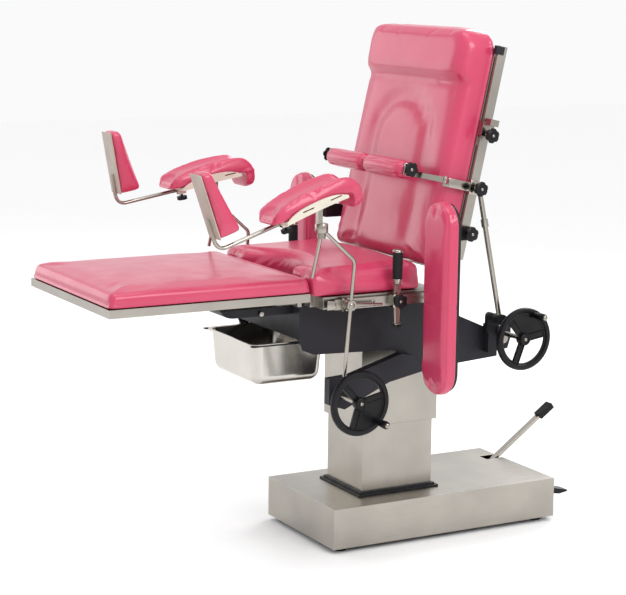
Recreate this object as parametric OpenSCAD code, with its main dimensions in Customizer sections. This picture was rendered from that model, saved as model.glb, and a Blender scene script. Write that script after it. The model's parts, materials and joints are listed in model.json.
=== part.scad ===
// Manual hydraulic operating table for gynaecology, with crank wheels and leg holders.
// Millimetres. +X runs to the head end, -Y faces the cranks, +Z is up, floor at zero.

/* [Base] */
// Length of the base cover ahead of the column axis
base_front = 284; // [250:1:320]
// Length of the base cover behind the column axis
base_rear = 533; // [500:1:580]
// Width of the base cover
base_w = 428; // [400:1:460]
// Height of the base cover
base_h = 126; // [115:1:140]
// Sheet thickness of the base cover
base_sheet = 2; // [1.5:0.5:3]
// Thickness of the floor plate inside the cover
chassis_t = 8; // [6:1:12]
// Diameter of a levelling foot
foot_d = 44; // [36:1:52]
// Height of a levelling foot under the cover
foot_h = 15; // [12:1:20]
// Distance from a foot centre to the cover edges
foot_inset = 45; // [40:1:60]

/* [Column] */
// Length of the fixed column along the table
column_l = 254; // [240:1:260]
// Width of the fixed column
column_w = 216; // [200:1:220]
// Wall of the fixed column
column_wall = 4; // [3:0.5:6]
// Top of the fixed column above the floor
column_top = 440; // [430:1:445]
// Length of the moving sleeve
sleeve_l = 275; // [272:1:280]
// Width of the moving sleeve
sleeve_w = 234; // [232:1:240]
// Wall of the moving sleeve
sleeve_wall = 3; // [2:0.5:4]
// Lower edge of the sleeve above the floor
sleeve_bottom = 360; // [350:1:370]
// Drop from the top panel to the top of the moving sleeve
sleeve_drop = 138; // [133:1:148]
// Height of the guide ring inside the sleeve's lower edge
guide_h = 20; // [15:1:30]
// Height of one step of the black skirt
skirt_step = 6; // [5:0.5:8]
// Width that each step of the skirt adds
skirt_rim = 9; // [7:1:12]

/* [Hydraulics] */
// Outer diameter of the lift jack
jack_d = 84; // [76:1:92]
// Diameter of the ram
ram_d = 50; // [44:1:56]
// Top of the lift jack above the floor
jack_top = 425; // [410:1:435]
// Lower end of the ram above the floor
ram_bottom = 262; // [250:1:280]
// Diameter of the oil pipe from pump to jack
pipe_d = 18; // [14:1:22]
// Diameter of the pump body
pump_d = 56; // [50:1:60]
// Pedal pivot behind the column axis
pedal_x = 440; // [430:1:450]
// Pedal pivot to the far side of the middle
pedal_y = 100; // [90:1:110]
// Pedal pivot above the floor
pedal_z = 82; // [78:1:86]
// Slope of the pump pedal at rest
pedal_slope = 35.7; // [32:0.1:38]
// Length of the pump pedal from its pivot
pedal_l = 368; // [350:1:380]
// Width of the pump pedal bar
pedal_w = 22; // [18:1:26]
// Thickness of the pump pedal bar
pedal_t = 10; // [8:1:12]
// Diameter of the pedal pins
pedal_pin_d = 12; // [10:1:14]
// Length of the rubber pad on the pump pedal
pedal_pad_l = 62; // [50:1:70]
// Width of the rubber pad on the pump pedal
pedal_pad_w = 34; // [30:1:40]
// Thickness of the rubber pad on the pump pedal
pedal_pad_t = 20; // [18:1:24]
// Release pedal to the near side of the middle
release_y = 120; // [110:1:130]
// Release pedal pivot above the floor
release_z = 70; // [66:1:74]
// Length of the release pedal from its pivot
release_l = 170; // [160:1:180]

/* [Underframe] */
// Outer half width of the underframe side panels
panel_y = 203; // [198:1:208]
// Thickness of an underframe panel
panel_t = 8; // [6:1:10]
// Top of the underframe above the floor
panel_top = 778; // [776:1:780]
// Drop from the top panel to the tilt axis
tilt_drop = 78; // [73:1:83]
// Diameter of the tilt shaft
tilt_d = 30; // [26:1:34]
// Inner half width of the column head ears
ear_y = 128; // [122:1:134]
// Thickness of a column head ear
ear_t = 16; // [14:1:20]
// Depth of a crank gearbox outside the near panel
gearbox_t = 31; // [28:1:34]

/* [Seat] */
// Front end of the seat frame ahead of the column axis
seat_front = 380; // [370:1:390]
// Half width of the seat frame
seat_y = 300; // [295:1:305]
// Height of the seat frame tube
seat_h = 36; // [32:1:38]
// Width of the seat frame tube
seat_tube = 25; // [22:1:28]
// Thickness of the seat pan
pan_t = 8; // [6:1:10]
// Front end of the seat cushion ahead of the column axis
seat_pad_front = 410; // [405:1:415]
// Gap between the seat and back cushions ahead of the column axis
seat_pad_rear = 38; // [36:1:44]
// Half width of the seat cushion
seat_pad_y = 294; // [288:1:296]
// Thickness of the seat cushion at its edge
seat_pad_h = 84; // [76:1:88]
// Edge rounding of the seat cushion
seat_pad_edge = 26; // [20:1:30]
// Half width of the notch in the seat cushion
notch_y = 150; // [140:1:160]
// Depth of the notch in the seat cushion
notch_l = 92; // [80:1:100]

/* [Leg section] */
// Foot end of the leg section ahead of the column axis
leg_end = 1048; // [1000:1:1090]
// Gap between the leg section and the seat frame
leg_gap = 43; // [40:1:48]
// Height of the leg frame
leg_h = 24; // [22:1:28]
// Rise from the top panel to the underside of the leg frame
leg_rise = 26; // [22:1:28]
// Thickness of the leg cushion
leg_pad_h = 50; // [44:1:56]
// Edge rounding of the leg cushion
leg_pad_edge = 22; // [18:1:26]
// Diameter of a leg section prong
prong_d = 18; // [16:1:20]
// Distance of a prong from the middle
prong_y = 230; // [220:1:240]

/* [Back] */
// Back hinge behind the column axis
hinge_x = 62; // [58:1:66]
// Lean of the back from upright
back_lean = 12.5; // [10:0.5:15]
// Length of the back cushion
back_pad_l = 732; // [700:1:750]
// Distance from the hinge to the back cushion
back_pad_start = 60; // [56:1:66]
// Half width of the back cushion
back_pad_y = 284; // [278:1:286]
// Thickness of the back cushion
back_pad_h = 74; // [66:1:78]
// Edge rounding of the back cushion
back_pad_edge = 24; // [18:1:28]
// Extra thickness of the head pillow
pillow_h = 22; // [16:1:26]
// Length of the head pillow
pillow_l = 175; // [150:1:190]
// Depth of the arch channel
channel_h = 7; // [4:1:9]
// Thickness of the board behind the back cushion
board_t = 12; // [10:1:14]
// Diameter of a back hinge pin
hinge_pin_d = 16; // [14:1:18]

/* [Rails and clamps] */
// Width of an accessory rail
rail_w = 30; // [26:1:32]
// Thickness of an accessory rail
rail_t = 10; // [8:1:10]
// Lower end of a back rail from the hinge
back_rail_start = 103; // [100:1:110]
// Upper end of a back rail from the hinge
back_rail_end = 752; // [740:1:760]
// Length of a clamp along its rail
clamp_l = 44; // [40:1:48]
// Place of the arm board clamp from the hinge
arm_clamp_s = 185; // [180:1:190]
// Place of the shoulder clamp from the hinge
shoulder_clamp_s = 322; // [316:1:328]
// Place of the accessory clamp from the hinge
spare_clamp_s = 500; // [490:1:510]
// Bore of the accessory clamp
spare_bore_d = 16; // [14:1:18]
// Diameter of a star knob
knob_d = 45; // [40:1:48]
// Thickness of a star knob
knob_h = 16; // [14:1:18]
// Diameter of a star knob's screw
knob_screw_d = 10; // [8:1:12]
// Front end of a seat rail ahead of the column axis
seat_rail_front = 350; // [345:1:360]
// Rear end of a seat rail ahead of the column axis
seat_rail_rear = 20; // [15:1:40]

/* [Handwheels] */
// Outer diameter of a handwheel
wheel_d = 194; // [180:1:200]
// Thickness of a handwheel rim
rim_t = 18; // [16:1:20]
// Distance of the rims from the middle
wheel_y = 361; // [360:1:364]
// Front wheel ahead of the column axis
front_wheel_x = 288; // [282:1:294]
// Drop from the top panel to the front wheel's axis
front_wheel_drop = 274; // [268:1:280]
// Rear wheel behind the column axis
rear_wheel_x = 288; // [284:1:292]
// Drop from the top panel to the rear wheel's axis
rear_wheel_drop = 132; // [128:1:134]
// Diameter of a crank shaft
crank_shaft_d = 16; // [14:1:18]
// Diameter of a crank grip
crank_grip_d = 22; // [18:1:24]
// Length of a crank grip
crank_grip_l = 66; // [56:1:72]

/* [Strut] */
// Strut nut behind the column axis
nut_x = 255; // [252:1:258]
// Drop from the top panel to the strut nut
nut_drop = 82; // [79:1:84]
// Distance of the strut from the middle
strut_y = 279; // [278:1:280]
// Diameter of the strut screw
screw_d = 16; // [14:1:17]
// Diameter of the strut nut
nut_d = 34; // [32:1:36]
// Strut eye behind the back's middle plane
lug_n = 38; // [36:1:42]
// Strut eye from the hinge along the back
lug_s = 318; // [314:1:322]

/* [Arm boards] */
// Inner edge of an arm board from the middle
arm_y = 348; // [348:1:352]
// Width of an arm board
arm_w = 140; // [120:1:150]
// Length of an arm board
arm_l = 570; // [520:1:580]
// Drop from the top panel to the lower end of the arm boards
arm_drop = 257; // [250:1:262]
// Thickness of an arm pad
arm_pad_h = 38; // [34:1:40]
// Thickness of an arm board's panel
arm_board_t = 10; // [8:1:12]
// Front face of an arm pad ahead of the column axis
arm_front = 78; // [76:1:80]
// Thickness of an arm bracket
arm_bracket_t = 8; // [6:1:8]

/* [Shoulder supports] */
// Length of a shoulder pad
shoulder_pad_l = 220; // [200:1:222]
// Height of a shoulder pad
shoulder_pad_w = 54; // [48:1:60]
// Thickness of a shoulder pad
shoulder_pad_h = 50; // [40:1:54]
// Height of a shoulder bar
shoulder_bar_w = 27; // [24:1:30]
// Thickness of a shoulder bar
shoulder_bar_t = 4; // [3:1:5]
// Distance from the rail to the gate hinge
gate_n = 109; // [104:1:114]
// Diameter of the gate hinge
gate_d = 12; // [10:1:14]

/* [Hand grips] */
// Hand grips ahead of the column axis
grip_x = 144; // [140:1:150]
// Drop from the top panel to the lower end of the hand grips' bars
grip_bar_drop = 62; // [56:1:68]
// Rise from the top panel to the lower end of the hand grips
grip_rise = 75; // [70:1:80]
// Length of a grip sleeve
grip_l = 92; // [84:1:96]
// Diameter of a grip sleeve
grip_d = 31; // [28:1:32]
// Width of a grip bar
grip_bar_w = 20; // [18:1:22]
// Thickness of a grip bar
grip_bar_t = 6; // [5:1:7]

/* [Leg holders] */
// Distance of the leg holders from the middle
holder_y = 338; // [338:1:339]
// Diameter of a holder rod
rod_d = 11.5; // [10:0.5:12]
// Rod clamp ahead of the column axis
rod_clamp_x = 310; // [306:1:314]
// Straight length of the rod above the clamp
rod_up = 130; // [126:1:134]
// Straight length of the rod below the clamp
rod_down = 210; // [200:1:220]
// Bend radius of the holder rod
rod_bend_r = 24; // [20:1:30]
// Length of the sloping part of the holder rod
rod_reach = 150; // [145:1:155]
// Diameter of the ribbed socket on the holder rod
socket_d = 36; // [32:1:40]
// Diameter of the hub on the pin under a leg pad
pad_hub_d = 18; // [16:1:20]
// Rise of the leg pad's pin above the socket
pad_pin_rise = 64; // [60:1:68]
// Distance that a leg pad sits ahead of its pin
pad_set = 9; // [6:1:12]
// Underside of the leg pad's shell above its pin
shell_low = 13; // [12:1:15]
// Thickness of the leg pad's shell
shell_t = 8; // [6:1:9]
// Pitch of the near leg pad at rest
near_pitch = 19; // [16:1:20]
// Pitch of the far leg pad at rest
far_pitch = 10; // [6:1:14]
// Length of a thigh pad
thigh_l = 300; // [292:1:306]
// Width of a thigh pad
thigh_w = 130; // [120:1:132]
// Thickness of a thigh pad
thigh_h = 34; // [28:1:38]
// Depth of the trough across a thigh pad
trough_h = 24; // [20:1:28]
// Diameter of the foot bar
foot_bar_d = 12; // [11:0.5:13]
// Length of the foot bar along the leg
foot_bar_l = 330; // [320:1:340]
// Bend radius of the foot bar
foot_bend_r = 30; // [26:1:34]
// Inner end of the foot rest bar ahead of the leg pad's middle
foot_bar_in = 50; // [46:1:54]
// Height of the foot plate
foot_plate_h = 190; // [180:1:200]
// Width of the foot plate
foot_plate_w = 68; // [60:1:70]
// Width of the foot pad
foot_pad_w = 70; // [62:1:72]
// Thickness of the foot pad at its toe end
toe_h = 32; // [28:1:36]
// Thickness of the foot pad at its heel end
heel_h = 68; // [60:1:74]

/* [Basin] */
// Length of the basin along the table
basin_l = 265; // [250:1:280]
// Width of the basin
basin_w = 325; // [310:1:330]
// Depth of the basin
basin_h = 130; // [100:1:140]
// Front end of the basin ahead of the column axis
basin_front = 540; // [535:1:545]
// Drop from the top panel to the rim of the basin
basin_drop = 118; // [113:1:123]
// Width of the basin's rim
basin_rim = 12; // [10:1:14]
// Sheet thickness of the basin
basin_sheet = 1.5; // [1:0.25:2]

/* [Hidden] */
$fn = 48;
cut = 1;
gap = 0.3;
fit = 0.05;
slim_tuck = 2;
tuck = 3;
seat_tuck = 4;
deep_tuck = 5;
left = -1;
right = 1;
steel = "#B9B4AC";
bright_steel = "#CFCBC4";
charcoal = "#37353E";
black = "#1D1C1F";
leather = "#DB6F8B";
ivory = "#E9E4DA";
half_share = 1 / 2;
base_top = foot_h + base_h;
sleeve_top = panel_top - sleeve_drop;
tilt_z = panel_top - tilt_drop;
leg_z = panel_top + leg_rise;
front_wheel_z = panel_top - front_wheel_drop;
rear_wheel_z = panel_top - rear_wheel_drop;
nut_z = panel_top - nut_drop;
arm_z = panel_top - arm_drop;
grip_bar_z = panel_top - grip_bar_drop;
grip_z = panel_top + grip_rise;
basin_top = panel_top - basin_drop;
chassis_top = foot_h + chassis_t;
hinge_z = panel_top + seat_h * half_share;
pad_reach = pedal_l * cos(pedal_slope) + pedal_pad_t * half_share * sin(pedal_slope);
rear_end = pedal_x + pad_reach;
shift_x = (leg_end - rear_end) * half_share;
pedal_eye_d = pedal_pin_d * 2.4;
skirt_l = column_l + skirt_rim * 4;
skirt_w = column_w + skirt_rim * 4;
window_w = pipe_d * 2;
head_plate_t = 12;
sleeve_lid_t = sleeve_wall;
knob_lobes = 6;
knob_screw_l = 22;
rail_gap = 8;
rail_margin = 6;
back_rail_in = back_pad_y + rail_margin;
rail_seat = 2.3;
arm_hinge_y = back_rail_in - rail_seat;
arm_plate_t = 12;
seat_rail_in = seat_y + rail_gap;
seat_rail_out = seat_rail_in + rail_gap;
seat_rail_z = panel_top + seat_h * half_share - rail_gap * half_share;
spoke_w = 16;
hub_d = 38;
grip_orbit_share = 0.82;

// Placement on the table

module on_table() {
    translate([shift_x, 0, 0]) children();
}
module on_back() {
    on_table() translate([hinge_x, 0, hinge_z]) rotate([0, back_lean, 0]) children();
}
module across(x, y_in, z, d, l) {
    translate([x, min(y_in, y_in + l), z]) rotate([-90, 0, 0]) cylinder(d = d, h = abs(l));
}
module slab(x0, x1, y0, y1, z0, z1) {
    translate([min(x0, x1), min(y0, y1), min(z0, z1)]) cube([abs(x1 - x0), abs(y1 - y0), abs(z1 - z0)]);
}
module profile(points, y0, y1) {
    translate([0, max(y0, y1), 0]) rotate([90, 0, 0]) linear_extrude(abs(y1 - y0)) polygon(points);
}
module rod_to(a, b, d) {
    run = b - a;
    flat = norm([run[0], run[1]]);
    translate(a) rotate([0, atan2(flat, run[2]), atan2(run[1], run[0])]) cylinder(d = d, h = norm(run));
}
module round_square(l, w, r) {
    square([l - r * 2, w], center = true);
    square([l, w - r * 2], center = true);
    for (sx = [-1, 1], sy = [-1, 1]) translate([sx * (l / 2 - r), sy * (w / 2 - r)]) circle(r = r);
}
module stadium(l, w) {
    square([l - w, w], center = true);
    for (s = [-1, 1]) translate([s * (l - w) / 2, 0]) circle(d = w);
}

// Soft forms: rings across the piece, from its base round a crowned and relieved face

function arc_steps(n) = [for (i = [0:n - 1]) 1 - cos(90 * i / n)];
function stations(l, e, n, m) = concat(
    [for (a = arc_steps(n)) e * a],
    [for (i = [0:m]) e + (l - e * 2) * i / m],
    [for (i = [n - 1:-1:0]) l - e * arc_steps(n)[i]]);
function end_drop(t, l, r) = let (d = min(t, l - t)) d >= r ? 0 : r - sqrt(r * r - (r - d) * (r - d));
function ring(t, lo, hi, top, edge, draw, n, m, relief, bend) = let (
    e = min(edge, top * 0.8, (hi - lo) / 2 - draw - cut),
    side = [[lo + draw, 0], [lo, (top - e) * 0.5]],
    left_arc = [for (i = [0:n]) [lo + e * (1 - cos(90 * i / n)), top - e + e * sin(90 * i / n)]],
    face = [for (i = [1:m - 1]) [lo + e + (hi - lo - e * 2) * i / m, top]],
    half = concat(side, left_arc),
    other = [for (i = [len(half) - 1:-1:0]) [lo + hi - half[i][0], half[i][1]]],
    flat = concat(half, face, other))
    [for (p = flat) let (share = p[1] / top)
        [t, p[0], p[1] + share * share * relief(t, p[0]) + bend(t, p[0])]];
module soft(rings) {
    n = len(rings[0]);
    last = len(rings) - 1;
    points = [for (r = rings) each r];
    side_a = [for (i = [0:last - 1], j = [0:n - 1])
        [i * n + j, i * n + (j + 1) % n, (i + 1) * n + j]];
    side_b = [for (i = [0:last - 1], j = [0:n - 1])
        [i * n + (j + 1) % n, (i + 1) * n + (j + 1) % n, (i + 1) * n + j]];
    mid = floor(n / 2);
    cap = concat([[0, n - 1, mid]], [for (j = [1:mid - 1]) [0, j + 1, j]],
        [for (j = [mid:n - 3]) [n - 1, j + 1, j]]);
    far_cap = [for (f = cap) [last * n + f[2], last * n + f[1], last * n + f[0]]];
    polyhedron(points = points, faces = concat(side_a, side_b, cap, far_cap));
}
no_relief = function(t, v) 0;
function crown(l, w, h) = function(t, v) h * (1 - pow(2 * t / l - 1, 2)) * (1 - pow(2 * v / w, 2));
function bump(x) = abs(x) >= 1 ? 0 : pow(cos(90 * x), 2);
function ramp(x) = x <= 0 ? 0 : x >= 1 ? 1 : x * x * (3 - 2 * x);

// Base and lift

module base_cover() {
    on_table() color(bright_steel) difference() {
        slab(-base_front, base_rear, -base_w / 2, base_w / 2, foot_h, base_top);
        slab(base_sheet - base_front, base_rear - base_sheet, base_sheet - base_w / 2,
            base_w / 2 - base_sheet, foot_h - cut, base_top - base_sheet);
        slab(-column_l / 2 - gap, column_l / 2 + gap, -column_w / 2 - gap, column_w / 2 + gap,
            foot_h, base_top + cut);
        slab(pedal_x + pedal_eye_d, base_rear + cut, pedal_y - pedal_w, pedal_y + pedal_w,
            pedal_z - pedal_t, base_top + cut);
        slab(base_rear - base_sheet - cut, base_rear + cut, -release_y - pedal_w, pedal_w - release_y,
            release_z - pedal_w, release_z + pedal_w);
    }
}
module base_chassis() {
    inner = base_sheet + gap;
    on_table() color(charcoal) union() {
        slab(inner - base_front, base_rear - inner, inner - base_w / 2, base_w / 2 - inner,
            foot_h, chassis_top);
        pedal_mount(pedal_x, pedal_y, pedal_z);
        pedal_mount(pedal_x, -release_y, release_z);
    }
}
module pedal_mount(x, y, z) {
    out = pedal_w / 2 + gap;
    for (s = [-1, 1]) {
        slab(x - pedal_pin_d, x + pedal_pin_d, y + s * out, y + s * (out + chassis_t),
            chassis_top - cut, z);
        across(x, y + s * out, z, pedal_pin_d * 2, s * chassis_t);
    }
    across(x, y - out - chassis_t, z, pedal_pin_d, (out + chassis_t) * 2);
}
module levelling_feet() {
    on_table() color(black)
        for (x = [foot_inset - base_front, base_rear - foot_inset], s = [-1, 1])
            translate([x, s * (base_w / 2 - foot_inset), 0]) cylinder(d = foot_d, h = foot_h);
}
module column_skirt() {
    on_table() color(black) difference() {
        for (i = [0, 1]) {
            grow = skirt_rim * 2 * (2 - i);
            slab(-(column_l + grow) / 2, (column_l + grow) / 2, -(column_w + grow) / 2,
                (column_w + grow) / 2, base_top, base_top + skirt_step * (i + 1));
        }
        slab(-column_l / 2 - gap, column_l / 2 + gap, -column_w / 2 - gap, column_w / 2 + gap,
            base_top - cut, base_top + skirt_step * 3);
    }
}
module lower_column() {
    inner_l = column_l / 2 - column_wall;
    inner_w = column_w / 2 - column_wall;
    on_table() color(steel) difference() {
        slab(-column_l / 2, column_l / 2, -column_w / 2, column_w / 2, chassis_top, column_top);
        slab(-inner_l, inner_l, -inner_w, inner_w, chassis_top - cut, column_top + cut);
        slab(inner_l - cut, column_l / 2 + cut, -window_w, window_w, chassis_top - cut,
            chassis_top + window_w * 2);
    }
}
module lift_jack() {
    pump_x = pedal_x - pedal_eye_d - pump_d;
    pipe_z = chassis_top + window_w;
    on_table() color(charcoal) difference() {
        union() {
            translate([0, 0, chassis_top]) cylinder(d = jack_d, h = jack_top - chassis_top);
            translate([0, 0, pipe_z]) rotate([0, 90, 0]) cylinder(d = pipe_d, h = pump_x);
            translate([pump_x, 0, chassis_top]) cylinder(d = pump_d, h = window_w * 2);
        }
        translate([0, 0, chassis_top + chassis_t]) cylinder(d = ram_d + fit * 2, h = jack_top);
    }
}
module lift_ram() {
    on_table() color(bright_steel)
        translate([0, 0, ram_bottom]) cylinder(d = ram_d, h = sleeve_top - sleeve_lid_t - ram_bottom);
}
module column_sleeve() {
    inner_l = sleeve_l / 2 - sleeve_wall;
    inner_w = sleeve_w / 2 - sleeve_wall;
    on_table() color(steel) union() {
        difference() {
            slab(-sleeve_l / 2, sleeve_l / 2, -sleeve_w / 2, sleeve_w / 2, sleeve_bottom, sleeve_top);
            slab(-inner_l, inner_l, -inner_w, inner_w, sleeve_bottom - cut, sleeve_top - sleeve_lid_t);
        }
        difference() {
            slab(-inner_l - cut, inner_l + cut, -inner_w - cut, inner_w + cut, sleeve_bottom,
                sleeve_bottom + guide_h);
            slab(-column_l / 2 - gap, column_l / 2 + gap, -column_w / 2 - gap, column_w / 2 + gap,
                sleeve_bottom - cut, sleeve_bottom + guide_h + cut);
        }
    }
}
module column_head() {
    ear_r = tilt_d * 0.9;
    on_table() color(charcoal) difference() {
        union() {
            slab(-sleeve_l / 3, sleeve_l / 3, -ear_y - ear_t, ear_y + ear_t, sleeve_top,
                sleeve_top + head_plate_t);
            for (s = [-1, 1]) {
                slab(-ear_r, ear_r, s * ear_y, s * (ear_y + ear_t), sleeve_top, tilt_z);
                across(0, s * ear_y, tilt_z, ear_r * 2, s * ear_t);
            }
        }
        across(0, -ear_y - ear_t - cut, tilt_z, tilt_d + fit * 2, (ear_y + ear_t + cut) * 2);
    }
}

module pump_pedal() {
    on_table() color(bright_steel) translate([pedal_x, pedal_y, pedal_z]) difference() {
        union() {
            across(0, -pedal_w / 2, 0, pedal_eye_d, pedal_w);
            rotate([0, -pedal_slope, 0]) slab(pedal_pin_d, pedal_l - pedal_t, gap - pedal_w / 2,
                pedal_w / 2 - gap,
                -pedal_t / 2, pedal_t / 2);
        }
        across(0, -pedal_w, 0, pedal_pin_d + fit * 2, pedal_w * 2);
    }
}
module pump_pedal_pad() {
    on_table() color(black) translate([pedal_x, pedal_y, pedal_z]) rotate([0, -pedal_slope, 0])
        difference() {
            slab(pedal_l - pedal_pad_l, pedal_l, -pedal_pad_w / 2, pedal_pad_w / 2,
                -pedal_pad_t / 2, pedal_pad_t / 2);
            slab(pedal_l - pedal_pad_l - cut, pedal_l - pedal_t, -pedal_w / 2, pedal_w / 2,
                -pedal_t / 2, pedal_t / 2);
        }
}
module release_pedal() {
    tip = release_l + pedal_x;
    toe_w = pedal_w * 0.8;
    on_table() color(black) translate([0, -release_y, 0]) difference() {
        union() {
            across(pedal_x, -pedal_w / 2, release_z, pedal_pin_d * 2, pedal_w);
            slab(pedal_x, tip, -toe_w / 2, toe_w / 2, release_z - pedal_t / 2, release_z + pedal_t / 2);
            profile([[tip - pedal_pad_l / 2, release_z - pedal_t / 2], [tip, release_z - pedal_t],
                [tip + pedal_pad_l / 2, release_z - pedal_t / 2], [tip + pedal_pad_l / 2, release_z],
                [tip - pedal_pad_l / 4, release_z + pedal_t]], -pedal_w, pedal_w);
        }
        across(pedal_x, -pedal_w, release_z, pedal_pin_d + fit * 2, pedal_w * 2);
    }
}

// Underframe and gearboxes, outlines as distances from the column axis and heights

nose_x = seat_front + seat_tube;
nose_z = tilt_z - panel_y * 0.37;
belly_z = tilt_z - tilt_d * 2.8;
knee_z = tilt_z - tilt_d * 5.2;
tail_x = rear_wheel_x + hub_d * 0.35;
tail_z = rear_wheel_z - hub_d * 2.2;
tail_top = rear_wheel_z - panel_t;
tray_l = leg_end * 0.22;
tray_y = prong_y * 0.66;
tray_top = panel_top - rail_t;
tray_h = rail_w * 0.8;
runner_z = basin_top - basin_sheet - gap;
runner_y = basin_w / 2 - basin_rim + gap * 2;

module side_panel(s) {
    corner = tilt_d * 1.6;
    difference() {
        profile([[-nose_x, panel_top], [-nose_x, nose_z + corner], [-nose_x + corner * 0.3,
            nose_z + corner * 0.3],
            [-nose_x + corner, nose_z], [-sleeve_l * 0.3, belly_z], [screw_d, knee_z],
            [tail_x, tail_z], [tail_x, tail_top], [sleeve_l * 0.58, tilt_z], [hinge_x - rail_t, panel_top]],
            s * (panel_y - panel_t), s * panel_y);
        across(0, s * (panel_y - panel_t - cut), tilt_z, tilt_d, s * (panel_t + cut * 2));
    }
}
module underframe() {
    inner = panel_y - panel_t;
    runner_end = basin_l * 0.9 - basin_front;
    runner_out = basin_w / 2 + panel_t / 2;
    tray_r = tray_h * 1.7;
    tray_end = -nose_x - tray_l;
    tray_nose = [for (a = [0:15:90]) [tray_end + tray_r * (1 - cos(a)), tray_top - tray_h * sin(a)]];
    on_table() color(charcoal) union() {
        for (s = [left, right]) side_panel(s);
        across(0, -panel_y, tilt_z, tilt_d, panel_y * 2);
        slab(-nose_x, panel_t - nose_x, -inner, inner, nose_z + tilt_d * 1.6, panel_top);
        slab(tail_x - panel_t, tail_x, -inner, inner, tail_z, tail_top);
        slab(-nose_x + panel_t, -sleeve_l * 1.1, -inner, inner, panel_top - panel_t, panel_top);
        difference() {
            profile(concat(tray_nose, [[-nose_x, tray_top - tray_h], [-nose_x, tray_top]]), -tray_y, tray_y);
            slab(tray_end + tray_r + panel_t, cut - nose_x, panel_t - tray_y, tray_y - panel_t,
                tray_top - tray_h - cut, tray_top - panel_t);
        }
        for (s = [left, right]) {
            slab(-basin_front, runner_end, s * runner_y, s * runner_out, runner_z - panel_t / 2, runner_z);
            slab(panel_t * 2 - nose_x, runner_end, s * runner_y, s * (inner + cut),
                runner_z - panel_t / 2, runner_z);
        }
    }
}
module front_gearbox() {
    out = panel_y + gearbox_t;
    box = hub_d * 0.8;
    on_table() color(charcoal) union() {
        profile([[-front_wheel_x - box, front_wheel_z + box * 1.6], [-front_wheel_x - box, front_wheel_z
            - box],
            [-front_wheel_x + box * 0.8, front_wheel_z - box * 1.6], [-sleeve_l * 0.4, knee_z
                - panel_t * 2.5],
            [screw_d, knee_z + panel_t / 2], [-sleeve_l * 0.1, belly_z - gearbox_t / 2],
            [-sleeve_l * 0.25, belly_z - panel_t], [-front_wheel_x + box * 1.5,
                front_wheel_z + box * 1.75]],
            -out, -panel_y);
        across(-front_wheel_x, -out - rail_t, front_wheel_z, hub_d, rail_t);
    }
}
module rear_gearbox() {
    out = panel_y + gearbox_t;
    box = hub_d * 1.1;
    lug_t = nut_d / 2;
    on_table() color(charcoal) difference() {
        union() {
            profile([[rear_wheel_x - box, rear_wheel_z - box * 1.5], [rear_wheel_x + box * 0.75,
                rear_wheel_z - box * 1.3],
                [rear_wheel_x + box, rear_wheel_z - box / 2], [rear_wheel_x + box, rear_wheel_z + box / 2],
                [rear_wheel_x, rear_wheel_z + box * 0.75], [rear_wheel_x - box, rear_wheel_z + box * 0.6]],
                -out, -panel_y);
            across(rear_wheel_x, -out - rail_t, rear_wheel_z, hub_d * 0.8, rail_t);
            across(nut_x, -out - lug_t, nut_z, nut_d * 0.8, lug_t + gearbox_t / 2);
            slab(nut_x - nut_d * 0.4, nut_x + nut_d * 0.4, -out, gearbox_t / 2 - out, rear_wheel_z, nut_z);
        }
        across(nut_x, -out - lug_t - cut, nut_z, screw_d * 0.8 + fit * 2, lug_t + gearbox_t / 2);
    }
}

// Seat section

module seat_frame() {
    low = panel_top;
    high = panel_top + seat_h;
    rear = hinge_x - seat_tube;
    inner = seat_y - seat_tube;
    ear_in = arm_hinge_y + gap * 2;
    on_table() color(steel) union() {
        slab(-seat_front, seat_tube - seat_front, -seat_y, seat_y, low, high);
        slab(rear - seat_tube * 2, rear - seat_tube, -seat_y, seat_y, low, high);
        slab(-seat_front, rear - seat_tube, -inner, inner, high - pan_t, high);
        for (s = [left, right]) {
            slab(-seat_front, rear - seat_tube, s * inner, s * seat_y, low, high);
            slab(rear - seat_tube, hinge_x, s * ear_in, s * seat_y, low, high);
            across(hinge_x, s * ear_in, hinge_z, seat_h, s * (seat_y - ear_in));
            across(hinge_x, s * (arm_hinge_y - arm_plate_t), hinge_z, hinge_pin_d,
                s * (seat_y - arm_hinge_y + arm_plate_t));
        }
        for (s = [left, right]) difference() {
            slab(-seat_front - rail_w * half_share, -seat_front, s * (prong_y - prong_d),
                s * (prong_y + prong_d),
                low, high);
            translate([-seat_front, s * prong_y, hinge_z]) rotate([0, -90, 0])
                cylinder(d = prong_d + fit * 2, h = rail_w);
        }
    }
}
module seat_rail(s) {
    slab(-seat_rail_front, -seat_rail_rear, s * seat_rail_in, s * seat_rail_out,
        seat_rail_z - rail_w / 2, seat_rail_z + rail_w / 2);
    for (x = [rail_w - seat_rail_front, -seat_rail_rear - rail_w,
        -(seat_rail_front + seat_rail_rear) * 0.6])
        across(x, s * seat_y, seat_rail_z, rail_w / 2, s * rail_gap);
}
module side_rails() {
    on_table() color(bright_steel) for (s = [left, right]) seat_rail(s);
}
module rail_hook(x, z, s, l, t_in, t_out) {
    grow = rail_gap * half_share + gap;
    difference() {
        slab(x - l / 2, x + l / 2, s * t_in, s * t_out, z - rail_w / 2 - grow, z + rail_w / 2 + grow);
        slab(x - l, x + l, s * (t_in - cut), s * (seat_rail_in - gap), z - rail_w / 2 + rail_gap / 2,
            z + rail_w / 2 - rail_gap / 2);
        slab(x - l, x + l, s * (seat_rail_in - gap), s * (seat_rail_out + gap), z - rail_w / 2 - gap,
            z + rail_w / 2 + gap);
    }
}
jaw_in = seat_rail_in - rail_gap * half_share - gap;
jaw_out = seat_rail_out + rail_gap * half_share;
module rod_jaws() {
    on_table() color(bright_steel) for (s = [left, right]) {
        rail_hook(-rod_clamp_x, seat_rail_z, s, clamp_l * 0.8, jaw_in, jaw_out);
        across(-rod_clamp_x, s * (jaw_out - cut), seat_rail_z, rail_w, s * (rail_gap * half_share + cut));
    }
}
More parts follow.
